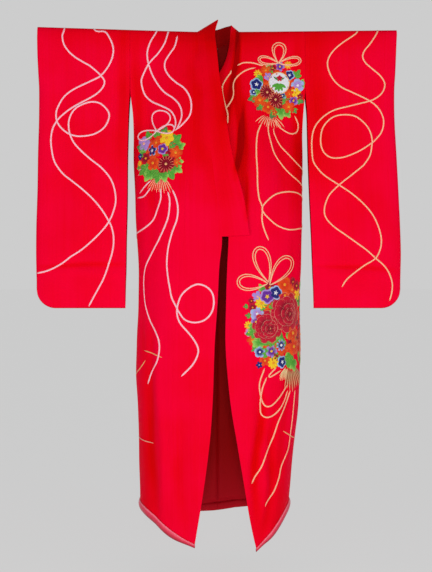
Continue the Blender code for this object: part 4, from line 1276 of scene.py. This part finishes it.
# The long cords as they lie on the robe, by ground, side and thread: points (across, up) in centimetres.
CORDS = {
    ("body", "right", "silver_thread"): """
        -22.5 4, -22.1 0, -24.3 -4.3, -25.4 -8, -25.2 -11.2, -24.6 -13.5, -23.4 -16.7, -21.2 -20.5,
        -18.9 -23.2, -15.7 -25.6, -13.4 -28.5, -12.7 -31.7, -13.3 -34.4, -14.7 -37.2;
        -17.2 3.5, -17.9 -0.5, -19.1 -4.8, -21.3 -8.4, -24.8 -12.3, -27.1 -16.8, -27.5 -19.2, -26.4 -23.2,
        -23.9 -26, -20.2 -28, -17 -29.9, -15.4 -32.2, -14.9 -34.4, -15.2 -36.7;
        -14.5 -2.1, -15.4 -6.1, -17.2 -8.9, -18.8 -11.6, -18.9 -14.4, -17.3 -17.3, -14.8 -19.8, -12 -22,
        -10 -25.1, -9.3 -28.5, -9.9 -32.2, -12.4 -35.3, -15.1 -37.5;
        -20.2 -58.2, -20 -61.7, -21.2 -65.6, -22.9 -69.5, -26.4 -72.3, -30.3 -74.1, -33 -75.5;
        -17.5 -59.5, -16.8 -62.8, -17.2 -67.7, -18.3 -71.2, -20.6 -76.2, -23.6 -81.7, -25.6 -85.9,
        -26.3 -90.3, -26.2 -94.6, -25.6 -99.5, -24 -104.5, -21.7 -109, -20.6 -112, -20.4 -115.1,
        -21.2 -119.1, -23.2 -123.2, -24.6 -127.3;
        -15.9 -58.8, -14.6 -61.9, -13.9 -65.5, -14.3 -69.5, -16 -74.2, -17.3 -79.3, -17.8 -84.4,
        -17.5 -88.7, -16.8 -92.9, -16 -96.8, -14.3 -100.2, -13.4 -101.9, -11.3 -104.5, -7.9 -105.4,
        -4.5 -104.5, -2.1 -101.9, -1.3 -98.5, -1.9 -95.1, -4 -92.9, -7 -92.1, -10 -93.4, -12.6 -95.9,
        -13.9 -99.3, -14.1 -102.7, -13 -105.7, -10.4 -108.7, -8.3 -111.3, -6.8 -114.3, -7 -116.8,
        -8.8 -120.2, -12.6 -124.1
    """,
    ("sleeve", "right", "silver_thread"): """
        -55.2 5, -55.8 0, -56.3 -1.9, -55.7 -5, -54 -7.6, -51.8 -9.6, -48.8 -11.5, -45.9 -13.2, -42.5 -16.2,
        -41 -18.4, -41.5 -20.6, -43.6 -22.9, -46.5 -24.8, -50.2 -26.8, -53.6 -28.8, -56.9 -31.4,
        -58.7 -33.6, -59.9 -36.2, -60.4 -39.9, -60 -44, -59.3 -47, -58.2 -49.2, -55.8 -52.2, -52.1 -55.1,
        -48.4 -58.1, -45 -61.3, -42.1 -64.8, -39.8 -68.5, -38.4 -71.4, -37.7 -75.2, -38 -79.6, -39.5 -84.8,
        -41.3 -89.9, -43.9 -94.7, -46.9 -100.1;
        -46.5 3.5, -44.2 0, -40.9 -0.4, -39 -3, -37.8 -6.4, -38.1 -9.8, -39.6 -13.2, -42.2 -16.4,
        -45.1 -18.1, -48.8 -19.9, -52.5 -21.8, -55.4 -24, -57.2 -26.6, -58.4 -29.5, -58.3 -32.5,
        -56.9 -35.1, -54.3 -37.3, -51.3 -38.4, -48 -38.4, -44.3 -37.5, -41.3 -35.5, -39.7 -32.9,
        -39.3 -30.3, -40.6 -28.1, -42.8 -26.4, -45.4 -26, -48.4 -26.8, -51.3 -28.4, -53.2 -31, -53.9 -34,
        -53.5 -37.3, -52.1 -40.6, -49.5 -43.6, -45.8 -46.9, -42.1 -49.8, -39.1 -53.3, -37.5 -57,
        -36.9 -61.4, -37.6 -65.1, -39.3 -69.2, -42.1 -72.9, -45.8 -76.6, -49.5 -79.7, -53.2 -82.1,
        -56.9 -84.8, -61.3 -87, -65.8 -88.1
    """,
    ("sleeve", "left", "gold_thread"): """
        51.5 4.5, 50.9 0, 49.4 -1.7, 44.9 -4.8, 41.5 -8, 39.9 -11.3, 40.2 -14.3, 41.8 -17.7, 44.8 -20.6,
        48.5 -22.5, 52.2 -24.2, 55.5 -25.9, 58.1 -28.1, 59.8 -31, 60.2 -34, 59.2 -37.3, 56.6 -40.3,
        55.1 -41.4, 52.2 -43.3, 48.5 -45.1, 44.8 -46.2, 41.4 -46.2, 38.9 -44.7, 37.6 -42.1, 37.4 -38.8,
        38.1 -35.5, 40 -32.9, 42.6 -31.2, 45.9 -30.7, 49.6 -31.2, 52.6 -33.2, 54.8 -35.8, 55.9 -38.8,
        55.9 -41.7, 55.2 -45.4, 53 -48.8, 52.1 -49.6, 48.4 -52.6, 44 -56.1, 40.6 -59.6, 39 -63.3,
        38.8 -66.3, 39.9 -68.8, 42.5 -71.4, 46.2 -74, 50.6 -77.2, 54.3 -79.9, 57.3 -82.6, 60.2 -85.1,
        62.1 -87.7, 63.4 -91.4, 63.4 -94.7, 62.6 -98.1;
        59.4 4, 58.2 0, 57.4 -1.7, 55.3 -4.9, 53.2 -7.5, 52.6 -9.8, 53.7 -12, 55.9 -13.9, 58.9 -16.5,
        60.5 -19.1, 60.3 -21.4, 58.8 -23.6, 55.9 -25.4, 52.1 -26.5, 47.7 -27.6, 42.5 -28.9, 38.8 -31,
        35.9 -34, 34.6 -37, 34.2 -40, 34.2 -42.9, 34.6 -47, 36 -49.6, 38.8 -52.6, 44 -56.1, 48.4 -59.1,
        52.5 -62.6, 55.8 -66.3, 58.1 -70.7, 59.3 -75.2, 59.1 -78.9, 57.3 -82.6, 53.6 -85, 49.9 -87.7,
        46.9 -90.3, 45.1 -93.1
    """,
    ("body", "left", "gold_thread"): """
        7.1 -13.4, 9.3 -12.5, 12.6 -12.5, 15.3 -13.2, 18.5 -13.7;
        13.7 -14.3, 11.2 -14.9, 8.5 -16.3, 6.4 -18.4, 5.6 -21, 5.7 -23.8, 5.2 -26.1, 3.8 -28.5, 2.7 -29.9;
        15.6 -34.9, 14.3 -38.1, 13.8 -41.7, 13.7 -46.3, 14 -51.9, 14.1 -57.4, 14.6 -61.9, 15.7 -65.1,
        15.6 -69.5, 16.4 -72.9, 17.9 -76.7;
        18.1 -34.1, 18.1 -37.7, 19 -41.7, 20.1 -45.4, 22.1 -48.5, 25.4 -52.2, 29 -54.9, 32 -57.2, 36 -60;
        19.9 -36.3, 20.4 -38.6, 22.2 -42.2, 25.3 -45.4, 28.7 -48.5, 31.8 -51, 35 -54;
        27.9 -31.1, 29.2 -34, 28.8 -36.7, 26.5 -37.7, 23.8 -36.7, 21.5 -34.9, 20.6 -32.7;
        36 -62, 32.5 -61.3, 29 -59.5, 24.9 -59.2, 20.8 -60.2, 17.8 -62.4, 15.7 -65.1, 16.2 -67, 18.6 -69.5,
        21.5 -71.6, 25.4 -72.7, 29.3 -72.1, 32.8 -70.8, 36 -68;
        16.4 -121.3, 14.7 -126.2, 14.8 -130.1, 16.1 -134, 18.4 -134.6, 21.2 -132.3, 23.8 -128.8,
        24.7 -127.5;
        17.1 -124.5, 15.6 -128.4, 14.9 -132.1, 14.8 -134.4, 15.2 -137.4, 17.4 -138.5, 20.4 -137.2, 23 -134,
        24.7 -129.7;
        25.7 -129.7, 23.8 -134.8, 21.2 -140.4, 19.5 -145.2, 17.4 -149.9, 15.2 -155.5, 13 -158.9,
        11.8 -161.3;
        27.5 -129.7, 27 -134.8, 26.4 -140.4, 25.7 -145.2, 24.9 -150.4, 22.4 -156, 21.4 -160.2, 19.6 -164.6,
        17 -168, 16.5 -169.3;
        20.6 -121.2, 18.1 -123.7, 18.5 -124.4, 22.3 -122.3
    """,
}
CORD_HALF_WIDTH = {"silver_thread": 0.0031, "gold_thread": 0.0027}
CORD_HALF_HEIGHT = 0.0012
CORD_LIFT = 0.55 * CORD_HALF_HEIGHT
CROSSING_REACH = 0.007  # how far from a crossing the upper cord starts to rise
CROSSING_RISE = 1.7 * CORD_HALF_HEIGHT
OWN_STRETCH = 12  # stations on each side that don't count as a crossing of a cord with itself


def rise_over(route, earlier):
    """How far a cord lifts over earlier cords and its own earlier turns: a bell of the distance to them."""
    station = np.arange(len(route))
    before = station[:, None] - station[None, :] > OWN_STRETCH
    own = np.linalg.norm(route[:, None] - route[None, :], axis=2)
    nearest = np.where(before, own, 1.0).min(axis=1)
    for other in earlier:
        nearest = np.minimum(nearest, np.linalg.norm(route[:, None] - other[None, :], axis=2).min(axis=1))
    return CROSSING_RISE * np.exp(-((nearest / CROSSING_REACH) ** 2))


def read_routes(text):
    """Read drawn routes: pairs (across, up) in centimetres with commas between, routes with semicolons."""
    routes = ([pair.split() for pair in route.split(",")] for route in text.split(";"))
    return [CM * np.array(route, dtype=float) for route in routes]


for (ground, side, thread), text in CORDS.items():
    chart_used = BODY[side] if ground == "body" else SLEEVE[side]
    earlier = []
    for route in read_routes(text):
        route = smooth_route(route)
        if ground == "body":
            route = round_the_side(chart_used, route)
        lift = CORD_LIFT + rise_over(route, earlier)
        earlier.append(route)
        size = (CORD_HALF_WIDTH[thread], CORD_HALF_HEIGHT)
        tubes(f"{side}_{ground}_cords", thread, chart_used, route[None], *size, lift[None])

# ------------------------------------------------------------------------------- the balls of flowers
# Three round bunches of flowers, one on the right breast and two down the left front, are worked in
# coloured silk, from the leaves beneath to the largest blossoms on top.

# Petal, inner and centre colours of the flowers by name.
DYES = {
    "lilac": ("lilac", "lilac", "blush"), "violet": ("lilac", "purple", "yellow"),
    "navy_white": ("light_blue", "navy", "white"), "navy": ("navy", "navy", "light_blue"),
    "sky": ("light_blue", "lilac", "white"), "sun": ("yellow", "yellow", "amber"),
    "amber": ("amber", "yellow", "orange_red"), "orange": ("orange", "orange_red", "amber"),
    "flame": ("orange_red", "orange", "amber"), "wine": ("crimson", "deep_crimson", "amber"),
    "ember": ("orange_red", "orange", "orange_red"), "garnet": ("crimson", "deep_crimson", "crimson"),
    "dark": ("deep_crimson", "crimson", "gold"), "peony_red": ("crimson", "deep_crimson", "gold"),
    "rose": ("pink", "lilac", "yellow"),
    "leaf": ("green", "green", "light_green"), "sprig": ("light_green", "green", "green"),
    "fir": ("dark_green", "green", "light_green"), "plain": ("white", "white", "gold"),
}

# Flowers of each ball from the ones beneath to the ones on top: kind, across and up from the middle of the
# ball and radius in centimetres, turn in degrees, dye.
BREAST_BALL = """
    leaf -3.9 6.2 1.5 110 leaf, leaf -1.2 6.8 1.4 95 leaf, leaf 1.3 7.4 1.4 70 fir,
    leaf 4.9 4.6 1.7 40 leaf, leaf 3.4 2.8 1.5 10 fir, leaf 6.6 2.7 1.3 20 sprig,
    leaf 5.6 -2.2 1.4 -10 sprig, leaf 5.4 -4.2 1.6 -40 sprig, leaf 3.2 -5.4 1.8 -60 leaf,
    leaf -4.9 -4.2 1.9 -150 leaf, leaf -3.2 -5.6 1.9 -125 sprig, leaf -0.6 -6.2 1.8 -95 leaf,
    leaf 1.4 -6.4 1.6 -75 sprig, leaf -6.6 3.2 1.3 165 fir, leaf -7.4 -3.4 1 200 sprig,
    daisy -7.5 -2.4 1.1 10 sun, plum -7.2 0.2 1.2 30 navy, plum -5.9 4.8 2.4 80 lilac,
    plum 2.6 6.2 2.6 60 sun, plum -1.3 4.7 1.7 20 flame, plum -5.1 -0.7 2 45 wine,
    plum 5.8 0.7 2.3 75 flame, plum -2.4 -2.7 2.5 15 orange, plum 6.3 -3 1.5 55 flame,
    star -2.7 1.9 1.9 90 navy_white, star 1.1 2.2 1.8 70 violet, chrysanthemum 2.4 -3.4 3.2 90 dark
"""
CHEST_BALL = """
    leaf 6.6 5 1.5 60 leaf, leaf 8.2 2.6 1.4 10 sprig, leaf -6.2 -0.9 1.5 190 leaf,
    leaf 1 -6.4 1.9 -80 sprig, leaf 3 -7.2 1.4 -50 sprig, leaf -1.4 -7.4 1.6 -110 fir,
    leaf 5.9 -6.3 1 -50 fir, leaf -5.6 -6 1.2 -140 fir, leaf 7.4 -3 1.2 -20 fir, leaf -2.4 7.3 1.2 110 leaf,
    leaf -7.9 -3.2 1.3 200 fir, plum -1.6 8 1.3 0 wine, plum -4.2 7 1.9 40 flame, plum 1 8.8 1.6 70 violet,
    daisy 4 9.5 1.4 20 amber, daisy -7 5.7 1.4 0 sun, plum -3.4 4.8 1.4 60 lilac, plum 7.5 2.1 2.2 30 sky,
    plum -8.6 -1.3 1.3 15 navy_white, leaf -6.9 -0.4 1 250 sprig, plum 6.7 -0.6 1.7 80 sun,
    plum 8.3 -1.9 1.1 20 wine, plum 5.9 -3.5 1.7 50 violet, plum -6.5 -4.1 2.4 25 flame,
    plum -3.5 -6.5 2.2 65 orange, plum 4.1 -5.8 2.2 35 flame, plum -1.2 -8.3 1.2 10 orange,
    star 4.5 5.7 1.7 60 navy_white, star -7.6 1.6 2.1 85 navy_white, plum 4.4 -1.1 1.6 30 flame,
    plum 1.8 -1.9 1.4 40 navy_white, chrysanthemum -3.8 -1.1 3 90 dark, chrysanthemum -0.8 -3.5 3.1 80 dark,
    medallion 0.5 2.6 4 0 plain
"""
HIP_BALL = """
    leaf -7.2 6.6 1.7 160 leaf, leaf -11 -2.2 1.7 190 leaf, leaf -9 -5 1.8 215 sprig,
    leaf -5.4 -5.6 2.2 240 leaf, leaf 0.8 -10.4 2.1 -90 leaf, leaf 2.2 -12.6 1.9 -70 sprig,
    leaf -8.2 12.4 1.3 130 sprig, leaf 5.6 12.6 1.8 60 leaf, leaf 6.6 -11 2 -60 leaf,
    leaf 10.6 6 2.1 40 leaf, leaf 12 -4 2 -20 sprig, leaf -11 -7.6 1 215 fir, leaf -13 3.4 0.9 170 fir,
    plum -12.7 8.7 1.2 30 wine, leaf -13.9 6.9 0.8 190 fir, leaf 4.2 8.2 1.8 20 sprig,
    plum -4.6 -10.9 1.6 20 wine, plum -6.2 13.4 1.9 20 wine, plum 1.9 12.6 2.4 10 flame,
    plum 2.2 15.4 1.6 40 wine, plum 3.6 14 1.8 70 wine, plum -0.9 14.4 2.6 45 orange,
    plum -10.6 10.2 1.8 10 lilac, daisy -9.2 7.9 2 30 sun, plum -12.3 6.4 1.4 60 wine,
    plum -10.7 4.2 2.2 80 sky, plum -11.2 1.4 1.5 20 violet, daisy -13.8 0.3 1.3 10 sun,
    plum -13.7 -2.3 1.3 50 rose, plum -12.5 -5 1.7 35 flame, plum 4 10.9 1.8 0 sun,
    plum -0.9 10.6 2.6 25 flame, star -4.2 11.5 2.3 75 navy_white, star -7.2 10.2 2.3 55 violet,
    plum -9.8 -9.1 1.8 15 navy_white, plum -5.7 -8.9 2 65 violet, daisy -2.2 -6.9 1.9 0 navy_white,
    plum -10 -13.6 1.1 40 navy, plum -8 -12.1 1.8 25 orange, daisy -5 -13 1.9 50 sun,
    star -1.9 -12.8 2 60 navy_white, plum 2.6 -7.6 2.9 30 orange, plum 2.2 -2.8 2.9 70 orange,
    plum 7.4 8.4 2.5 15 orange, star 8.4 3.2 2.2 40 navy_white, plum 10.2 -0.8 2.1 75 lilac,
    star 7.8 -6.2 2.1 20 violet, daisy 11.2 2.8 1.8 0 sun, plum 10.6 -7.6 1.9 55 flame,
    plum 5.4 -11.6 1.8 35 wine, plum 6.6 -3.6 3.2 5 flame, daisy 5.2 -9.8 1.4 35 amber,
    plum 5.6 -8.2 2.6 50 flame, peony -7 -0.5 5.8 20 peony_red, peony 0 4.6 7.2 75 peony_red
"""

# Kinds and dyes of the filling behind the flowers, in turn.
FILLING = (("leaf", "leaf"), ("plum", "ember"), ("leaf", "sprig"), ("plum", "garnet"), ("plum", "ember"))
GOLDEN_ANGLE = 137.5
FILLING_REACH = 0.86  # share of the ball's radius that the filling takes up


def filling_leaves(size, count):
    """Leaves and small plum blossoms behind a ball's flowers, each a golden angle on and further out."""
    leaves = []
    for n in range(count):
        angle, reach = GOLDEN_ANGLE * n, size * np.sqrt((n + 0.5) / count) * FILLING_REACH
        place = (reach * np.cos(np.radians(angle)), reach * np.sin(np.radians(angle)))
        kind, dye = FILLING[n % len(FILLING)]
        leaves.append((kind, *place, 1.6, angle + 40.0 * (-1) ** n, dye))
    return leaves


def read_flowers(text):
    """Read a ball's flowers, a kind, four numbers and a dye each, with commas between."""
    rows = (flower_text.split() for flower_text in text.split(","))
    return [(kind, *map(float, numbers), dye) for kind, *numbers, dye in rows]


FILLING_CROWD = 0.42  # filling for each square centimetre of the ball's radius squared
FILLING_LIFT, FLOWER_LIFT = 0.0008, 0.0024  # the most that the filling and the flowers are padded up
LEAST_LIFT, LIFT_STEP = 0.0002, 0.0003
CROWDED = 0.85  # share of two flowers' radii within which one lies over the other
SPREAD = 1.16  # how much wider the small flowers are worked than drawn, so that they meet


def work_ball(piece, side, across, up, flowers, size):
    """Work one ball's flowers. A flower that overlaps earlier ones is padded to lie over them."""
    placed = []
    filling = filling_leaves(size, int(FILLING_CROWD * size**2))
    for n, (kind, u, v, radius, spin, dye) in enumerate(filling + read_flowers(flowers)):
        place = np.array((across + u, up + v)) * CM
        radius = radius * CM
        over = []
        for other, near, under in placed:
            if np.hypot(*(place - other)) < CROWDED * (radius + near):
                over.append(under)
        lift = max(over, default=LEAST_LIFT) + (LIFT_STEP if over else 0.0)
        lift = min(lift, FILLING_LIFT if n < len(filling) else FLOWER_LIFT)
        placed.append((place, radius, lift))
        worked = radius * (1.0 if kind in ("medallion", "chrysanthemum", "peony") else SPREAD)
        flower(piece, BODY[side], kind, *round_the_side(BODY[side], place), worked, spin, lift, DYES[dye])


work_ball("right_breast_flowers", "right", -20.6, -46.2, BREAST_BALL, 7.6)
work_ball("left_chest_flowers", "left", 21.5, -22.2, CHEST_BALL, 8.4)
work_ball("left_hip_flowers", "left", 24.5, -106.6, HIP_BALL, 13.6)

# ------------------------------------------------------------------------------- the bows and the tassels
# Above each ball the cords are tied in a bow of long loops, and below it they end in a tassel of loose
# strands. All are couched down in the same threads, a few strands in plain silk.

LOOP_STATIONS, STRAND_STATIONS = 34, 10


def pair_of_loops(across, up, angle, length, half_width, gap):
    """A bow's loop as drawn lines: two teardrops, one a gap inside the other, from the knot and back."""
    t = np.linspace(0.0, 1.0, LOOP_STATIONS)
    drawn = []
    for inset in (0.0, gap):
        forward = (length - 1.2 * inset) * 0.5 * (1.0 - np.cos(2.0 * np.pi * t))
        side = (half_width - inset) * np.sin(2.0 * np.pi * t) * np.sin(np.pi * t) * 1.3
        drawn.append(turned(across, up, angle, forward, side))
    return np.array(drawn)


# Bows: side, thread, knot (across, up), angle, length and half width of the loop, and the gap to its inner
# line, in centimetres. A loop of one line has no gap.
BOWS = [
    ("right", "silver_thread", -21.7, -37.2, 72, 7.6, 3.4, 0.0),
    ("right", "silver_thread", -21.7, -37.2, 194, 7.2, 1.7, 0.0),
    ("right", "silver_thread", -21.7, -37.2, 6, 6.4, 1.6, 0.0),
    ("left", "gold_thread", 21.9, -12.2, 86, 7.6, 2.5, 0.75),
    ("left", "gold_thread", 21.9, -12.2, 171, 7.4, 1.6, 0.55),
    ("left", "gold_thread", 21.9, -12.2, 9, 8.4, 1.7, 0.55),
    ("left", "gold_thread", 17.8, -91.4, 106, 12.9, 3.0, 0.75),
    ("left", "gold_thread", 18.2, -92.4, 52, 12.6, 3.0, 0.75),
    ("left", "gold_thread", 17.6, -91.8, 177, 10.8, 2.8, 0.70),
]
for side, thread, across, up, angle, length, half_width, gap in BOWS:
    loops = pair_of_loops(across * CM, up * CM, angle, length * CM, half_width * CM, gap * CM)
    loops = round_the_side(BODY[side], loops if gap else loops[:1])
    thick = CORD_HALF_WIDTH[thread] * (0.7 if gap else 0.9)
    tubes(side + "_bows", thread, BODY[side], loops, thick, CORD_HALF_HEIGHT, 1.6 * CORD_HALF_HEIGHT)


STRAND_START = 0.34  # share of a strand that the ball hides


def fan_of_strands(across, up, first, last, lengths, count):
    """A tassel's strands as drawn lines: they leave the knot over a range of angles and droop a little."""
    share = np.linspace(0.0, 1.0, count)[:, None]
    angle = np.radians(first + (last - first) * share)
    length = np.interp(share, np.linspace(0.0, 1.0, len(lengths)), lengths)
    length = length * (1.0 + 0.06 * np.sin(37.0 * share))
    t = np.linspace(STRAND_START, 1.0, STRAND_STATIONS)[None, :]
    x = across + t * length * np.cos(angle) * (1.0 + 0.12 * np.sin(np.pi * t))
    return np.stack([x, up + t * length * np.sin(angle) - 0.06 * length * t**2], axis=-1)


# Tassels: side, thread, knot, first and last angle, lengths of the strands across the fan in centimetres,
# number of strands, colour.
STRAND = (0.0017, 0.0012, 0.0008)  # half width, half height and lift
TASSELS = [
    ("right", "gold_thread", -20.3, -52.6, -132, -54, (6.8, 6.4, 6.6, 7.0, 7.6), 11, "gold"),
    ("left", "gold_thread", 18.6, -30.6, -146, -40, (6.2, 5.4, 4.8, 5.6, 7.4), 11, "gold"),
    ("left", "coloured_silk_thread", 25.8, -119.2, -101, -53, (8.8, 9.4, 9.4, 9.0), 9, "brown"),
    ("left", "coloured_silk_thread", 25.8, -119.2, -104, -56, (9.4, 9.8, 9.6, 9.0), 9, "beige"),
    ("left", "coloured_silk_thread", 25.4, -120.0, -132, -107, (5.4, 6.4, 6.0), 6, "cream"),
]
for side, thread, across, up, first, last, lengths, count, colour in TASSELS:
    drawn = fan_of_strands(across * CM, up * CM, first, last, np.array(lengths) * CM, count)
    drawn = round_the_side(BODY[side], drawn)
    tubes(side + "_tassels", thread, BODY[side], drawn, *STRAND, colour, 6)

# One more gold cord runs down the left collar. It is set at an x and a height, and lies on the band.
COLLAR_CORD = "5.6 -15.4, 3.6 -17.9, 1.9 -21, 1.7 -23.3, 2.3 -26.8, 3.3 -30.4, 3.9 -33.1, 4.3 -35.3"


def on_collar(route):
    """Points of the left collar's outer face at drawn places, and the way out from it there."""
    heights = -LEVELS["height"][: COLLAR_END + 1]
    row = -np.interp(-route[:, 1], heights, np.arange(COLLAR_END + 1.0))
    seam, reach, _, _ = band_values("left", row)
    share = np.clip((route[:, 0] - seam) / (reach - seam), 0.05, 0.93)[:, None]
    points = collar_surface("left", row, share + np.array((-0.04, 0.0, 0.04)))
    normal = facing(points)[:, 1]
    return points[:, 1], -normal * np.sign(normal[:, 1:2])


points, outwards = on_collar(smooth_route(read_routes(COLLAR_CORD)[0]))
points = points + outwards * CORD_LIFT
size = (CORD_HALF_WIDTH["gold_thread"], CORD_HALF_HEIGHT)
lay_tubes("left_body_cords", "gold_thread", points[None], outwards[None], *size)

# Short loose ends beside the tassels and cords: side, colour, half width in centimetres, points.
END_HALF_HEIGHT, END_LIFT = 0.001, 0.0005
ENDS = [
    ("right", "silver", 0.26, "-26.8 -50.6, -27.6 -50.7, -28.6 -51.2"),
    ("right", "silver", 0.26, "-26.8 -51.7, -27.8 -52.1, -28.6 -53"),
    ("right", "silver", 0.30, "-23.6 -55.1, -25.4 -56.6, -27.9 -59.5"),
    ("right", "silver", 0.30, "-23.6 -57.5, -26.1 -60.6, -28.7 -61.1"),
    ("right", "gold", 0.20, "-26 -115.6, -23 -116.4, -19.5 -117.7"),
    ("right", "gold", 0.20, "-25.5 -119, -27.6 -122, -30.5 -125.4"),
    ("right", "blush", 0.16, "-29.5 -146.9, -26 -147.6, -22.5 -148"),
    ("left", "gold", 0.20, "23 -143.7, 25.2 -145.3, 27.6 -147.3"),
]
for side, colour, half_width, text in ENDS:
    route = round_the_side(BODY[side], smooth_route(read_routes(text)[0]))[None]
    size = (half_width * CM, END_HALF_HEIGHT, END_LIFT)
    tubes(side + "_tassels", "coloured_silk_thread", BODY[side], route, *size, colour, 6)

# All the work in one thread on one part of the robe becomes one piece.
for (name, thread), worked in STITCHED.items():
    starts = np.concatenate([[0], np.cumsum([len(part[0]) for part in worked])])
    faces = np.concatenate([part[1] + start for part, start in zip(worked, starts)])
    points, uv, dyed = (np.concatenate([part[k] for part in worked]) for k in (0, 2, 3))
    label = name if name.endswith("cords") else f"{name}_{thread.split('_')[0]}"
    piece = new_piece(label, points, faces, uv, THREADS[thread])
    layer = piece.data.color_attributes.new("thread", "FLOAT_COLOR", "POINT")
    opaque = np.concatenate([dyed, np.ones((len(dyed), 1))], axis=1)
    layer.data.foreach_set("color", opaque.astype(np.float32).ravel())

# ------------------------------------------------------------------------------- floor, light and camera
# A plain pale floor lies under the hem in an even grey surround, with broad soft lights from the front, one
# on each side and a smaller one between, and a camera square to the front.

SURROUND = srgb(205, 205, 205)
FLOOR_GLOW = 0.91  # so that the floor looks as pale as the surround
FILL_LIGHT = 0.45  # strength of the surround's light on the robe
FLOOR_HEIGHT = -1.95
RINGS = np.array((0.05, 1.5, 6.0, 30.0, 300.0))[:, None]
SPOKES = 96
angle = 2.0 * np.pi * np.arange(SPOKES) / SPOKES
disc = np.stack(np.broadcast_arrays(RINGS * np.cos(angle), RINGS * np.sin(angle), FLOOR_HEIGHT), axis=-1)
index = np.arange(disc[..., 0].size).reshape(len(RINGS), SPOKES)
cells = layer_faces(np.concatenate([index, index[:, :1]], axis=1), True)
floor_mesh = bpy.data.meshes.new("floor")
floor_mesh.from_pydata(disc.reshape(-1, 3).tolist(), [], [*cells.tolist(), index[0].tolist()])
floor = bpy.data.objects.new("floor", floor_mesh)
bpy.context.scene.collection.objects.link(floor)
paper = material("floor_paper", (110, 110, 110), 0.9, specular=0.0)
paper_surface = paper.node_tree.nodes["Principled BSDF"]
paper_surface.inputs["Emission Color"].default_value = SURROUND
paper_surface.inputs["Emission Strength"].default_value = FLOOR_GLOW
floor_mesh.materials.append(paper)

world = bpy.data.worlds.new("surround")
world.use_nodes = True
seen = world.node_tree.nodes["Background"]
seen.inputs["Color"].default_value = SURROUND
fill = add_node(world, "Background", Color=SURROUND, Strength=FILL_LIGHT)
straight = add_node(world, "LightPath").outputs["Is Camera Ray"]
mixed = add_node(world, "MixShader", n0=straight, n1=fill.outputs[0], n2=seen.outputs[0])
world.node_tree.links.new(mixed.outputs[0], world.node_tree.nodes["World Output"].inputs["Surface"])
bpy.context.scene.world = world

LAMP_AIM = np.array((0.0, 0.0, -1.0))
for name, place, size, power in (
    ("from_left", (-2.5, -3.7, -0.9), 1.8, 30.0),
    ("from_right", (2.5, -3.7, -1.2), 1.8, 37.0),
    ("from_front", (0.0, -4.5, -1.0), 0.8, 58.0),
):
    lamp = bpy.data.lights.new(name, "AREA")
    lamp.shape = "SQUARE"
    lamp.size = size
    lamp.energy = power
    light = bpy.data.objects.new(name, lamp)
    light.location = place
    x, y, z = LAMP_AIM - np.array(place)
    light.rotation_euler = (np.arctan2(np.hypot(x, y), -z), 0.0, -np.arctan2(x, y))
    light.visible_camera = False
    bpy.context.scene.collection.objects.link(light)

lens = bpy.data.cameras.new("front_view")
lens.lens = 62.1
lens.sensor_width = 36.0
camera = bpy.data.objects.new("front_view", lens)
camera.location = (-0.0055, -3.6, -0.927)
camera.rotation_euler = (np.pi / 2.0, 0.0, 0.0)
bpy.context.scene.collection.objects.link(camera)
bpy.context.scene.camera = camera
bpy.context.scene.view_settings.view_transform = "Standard"
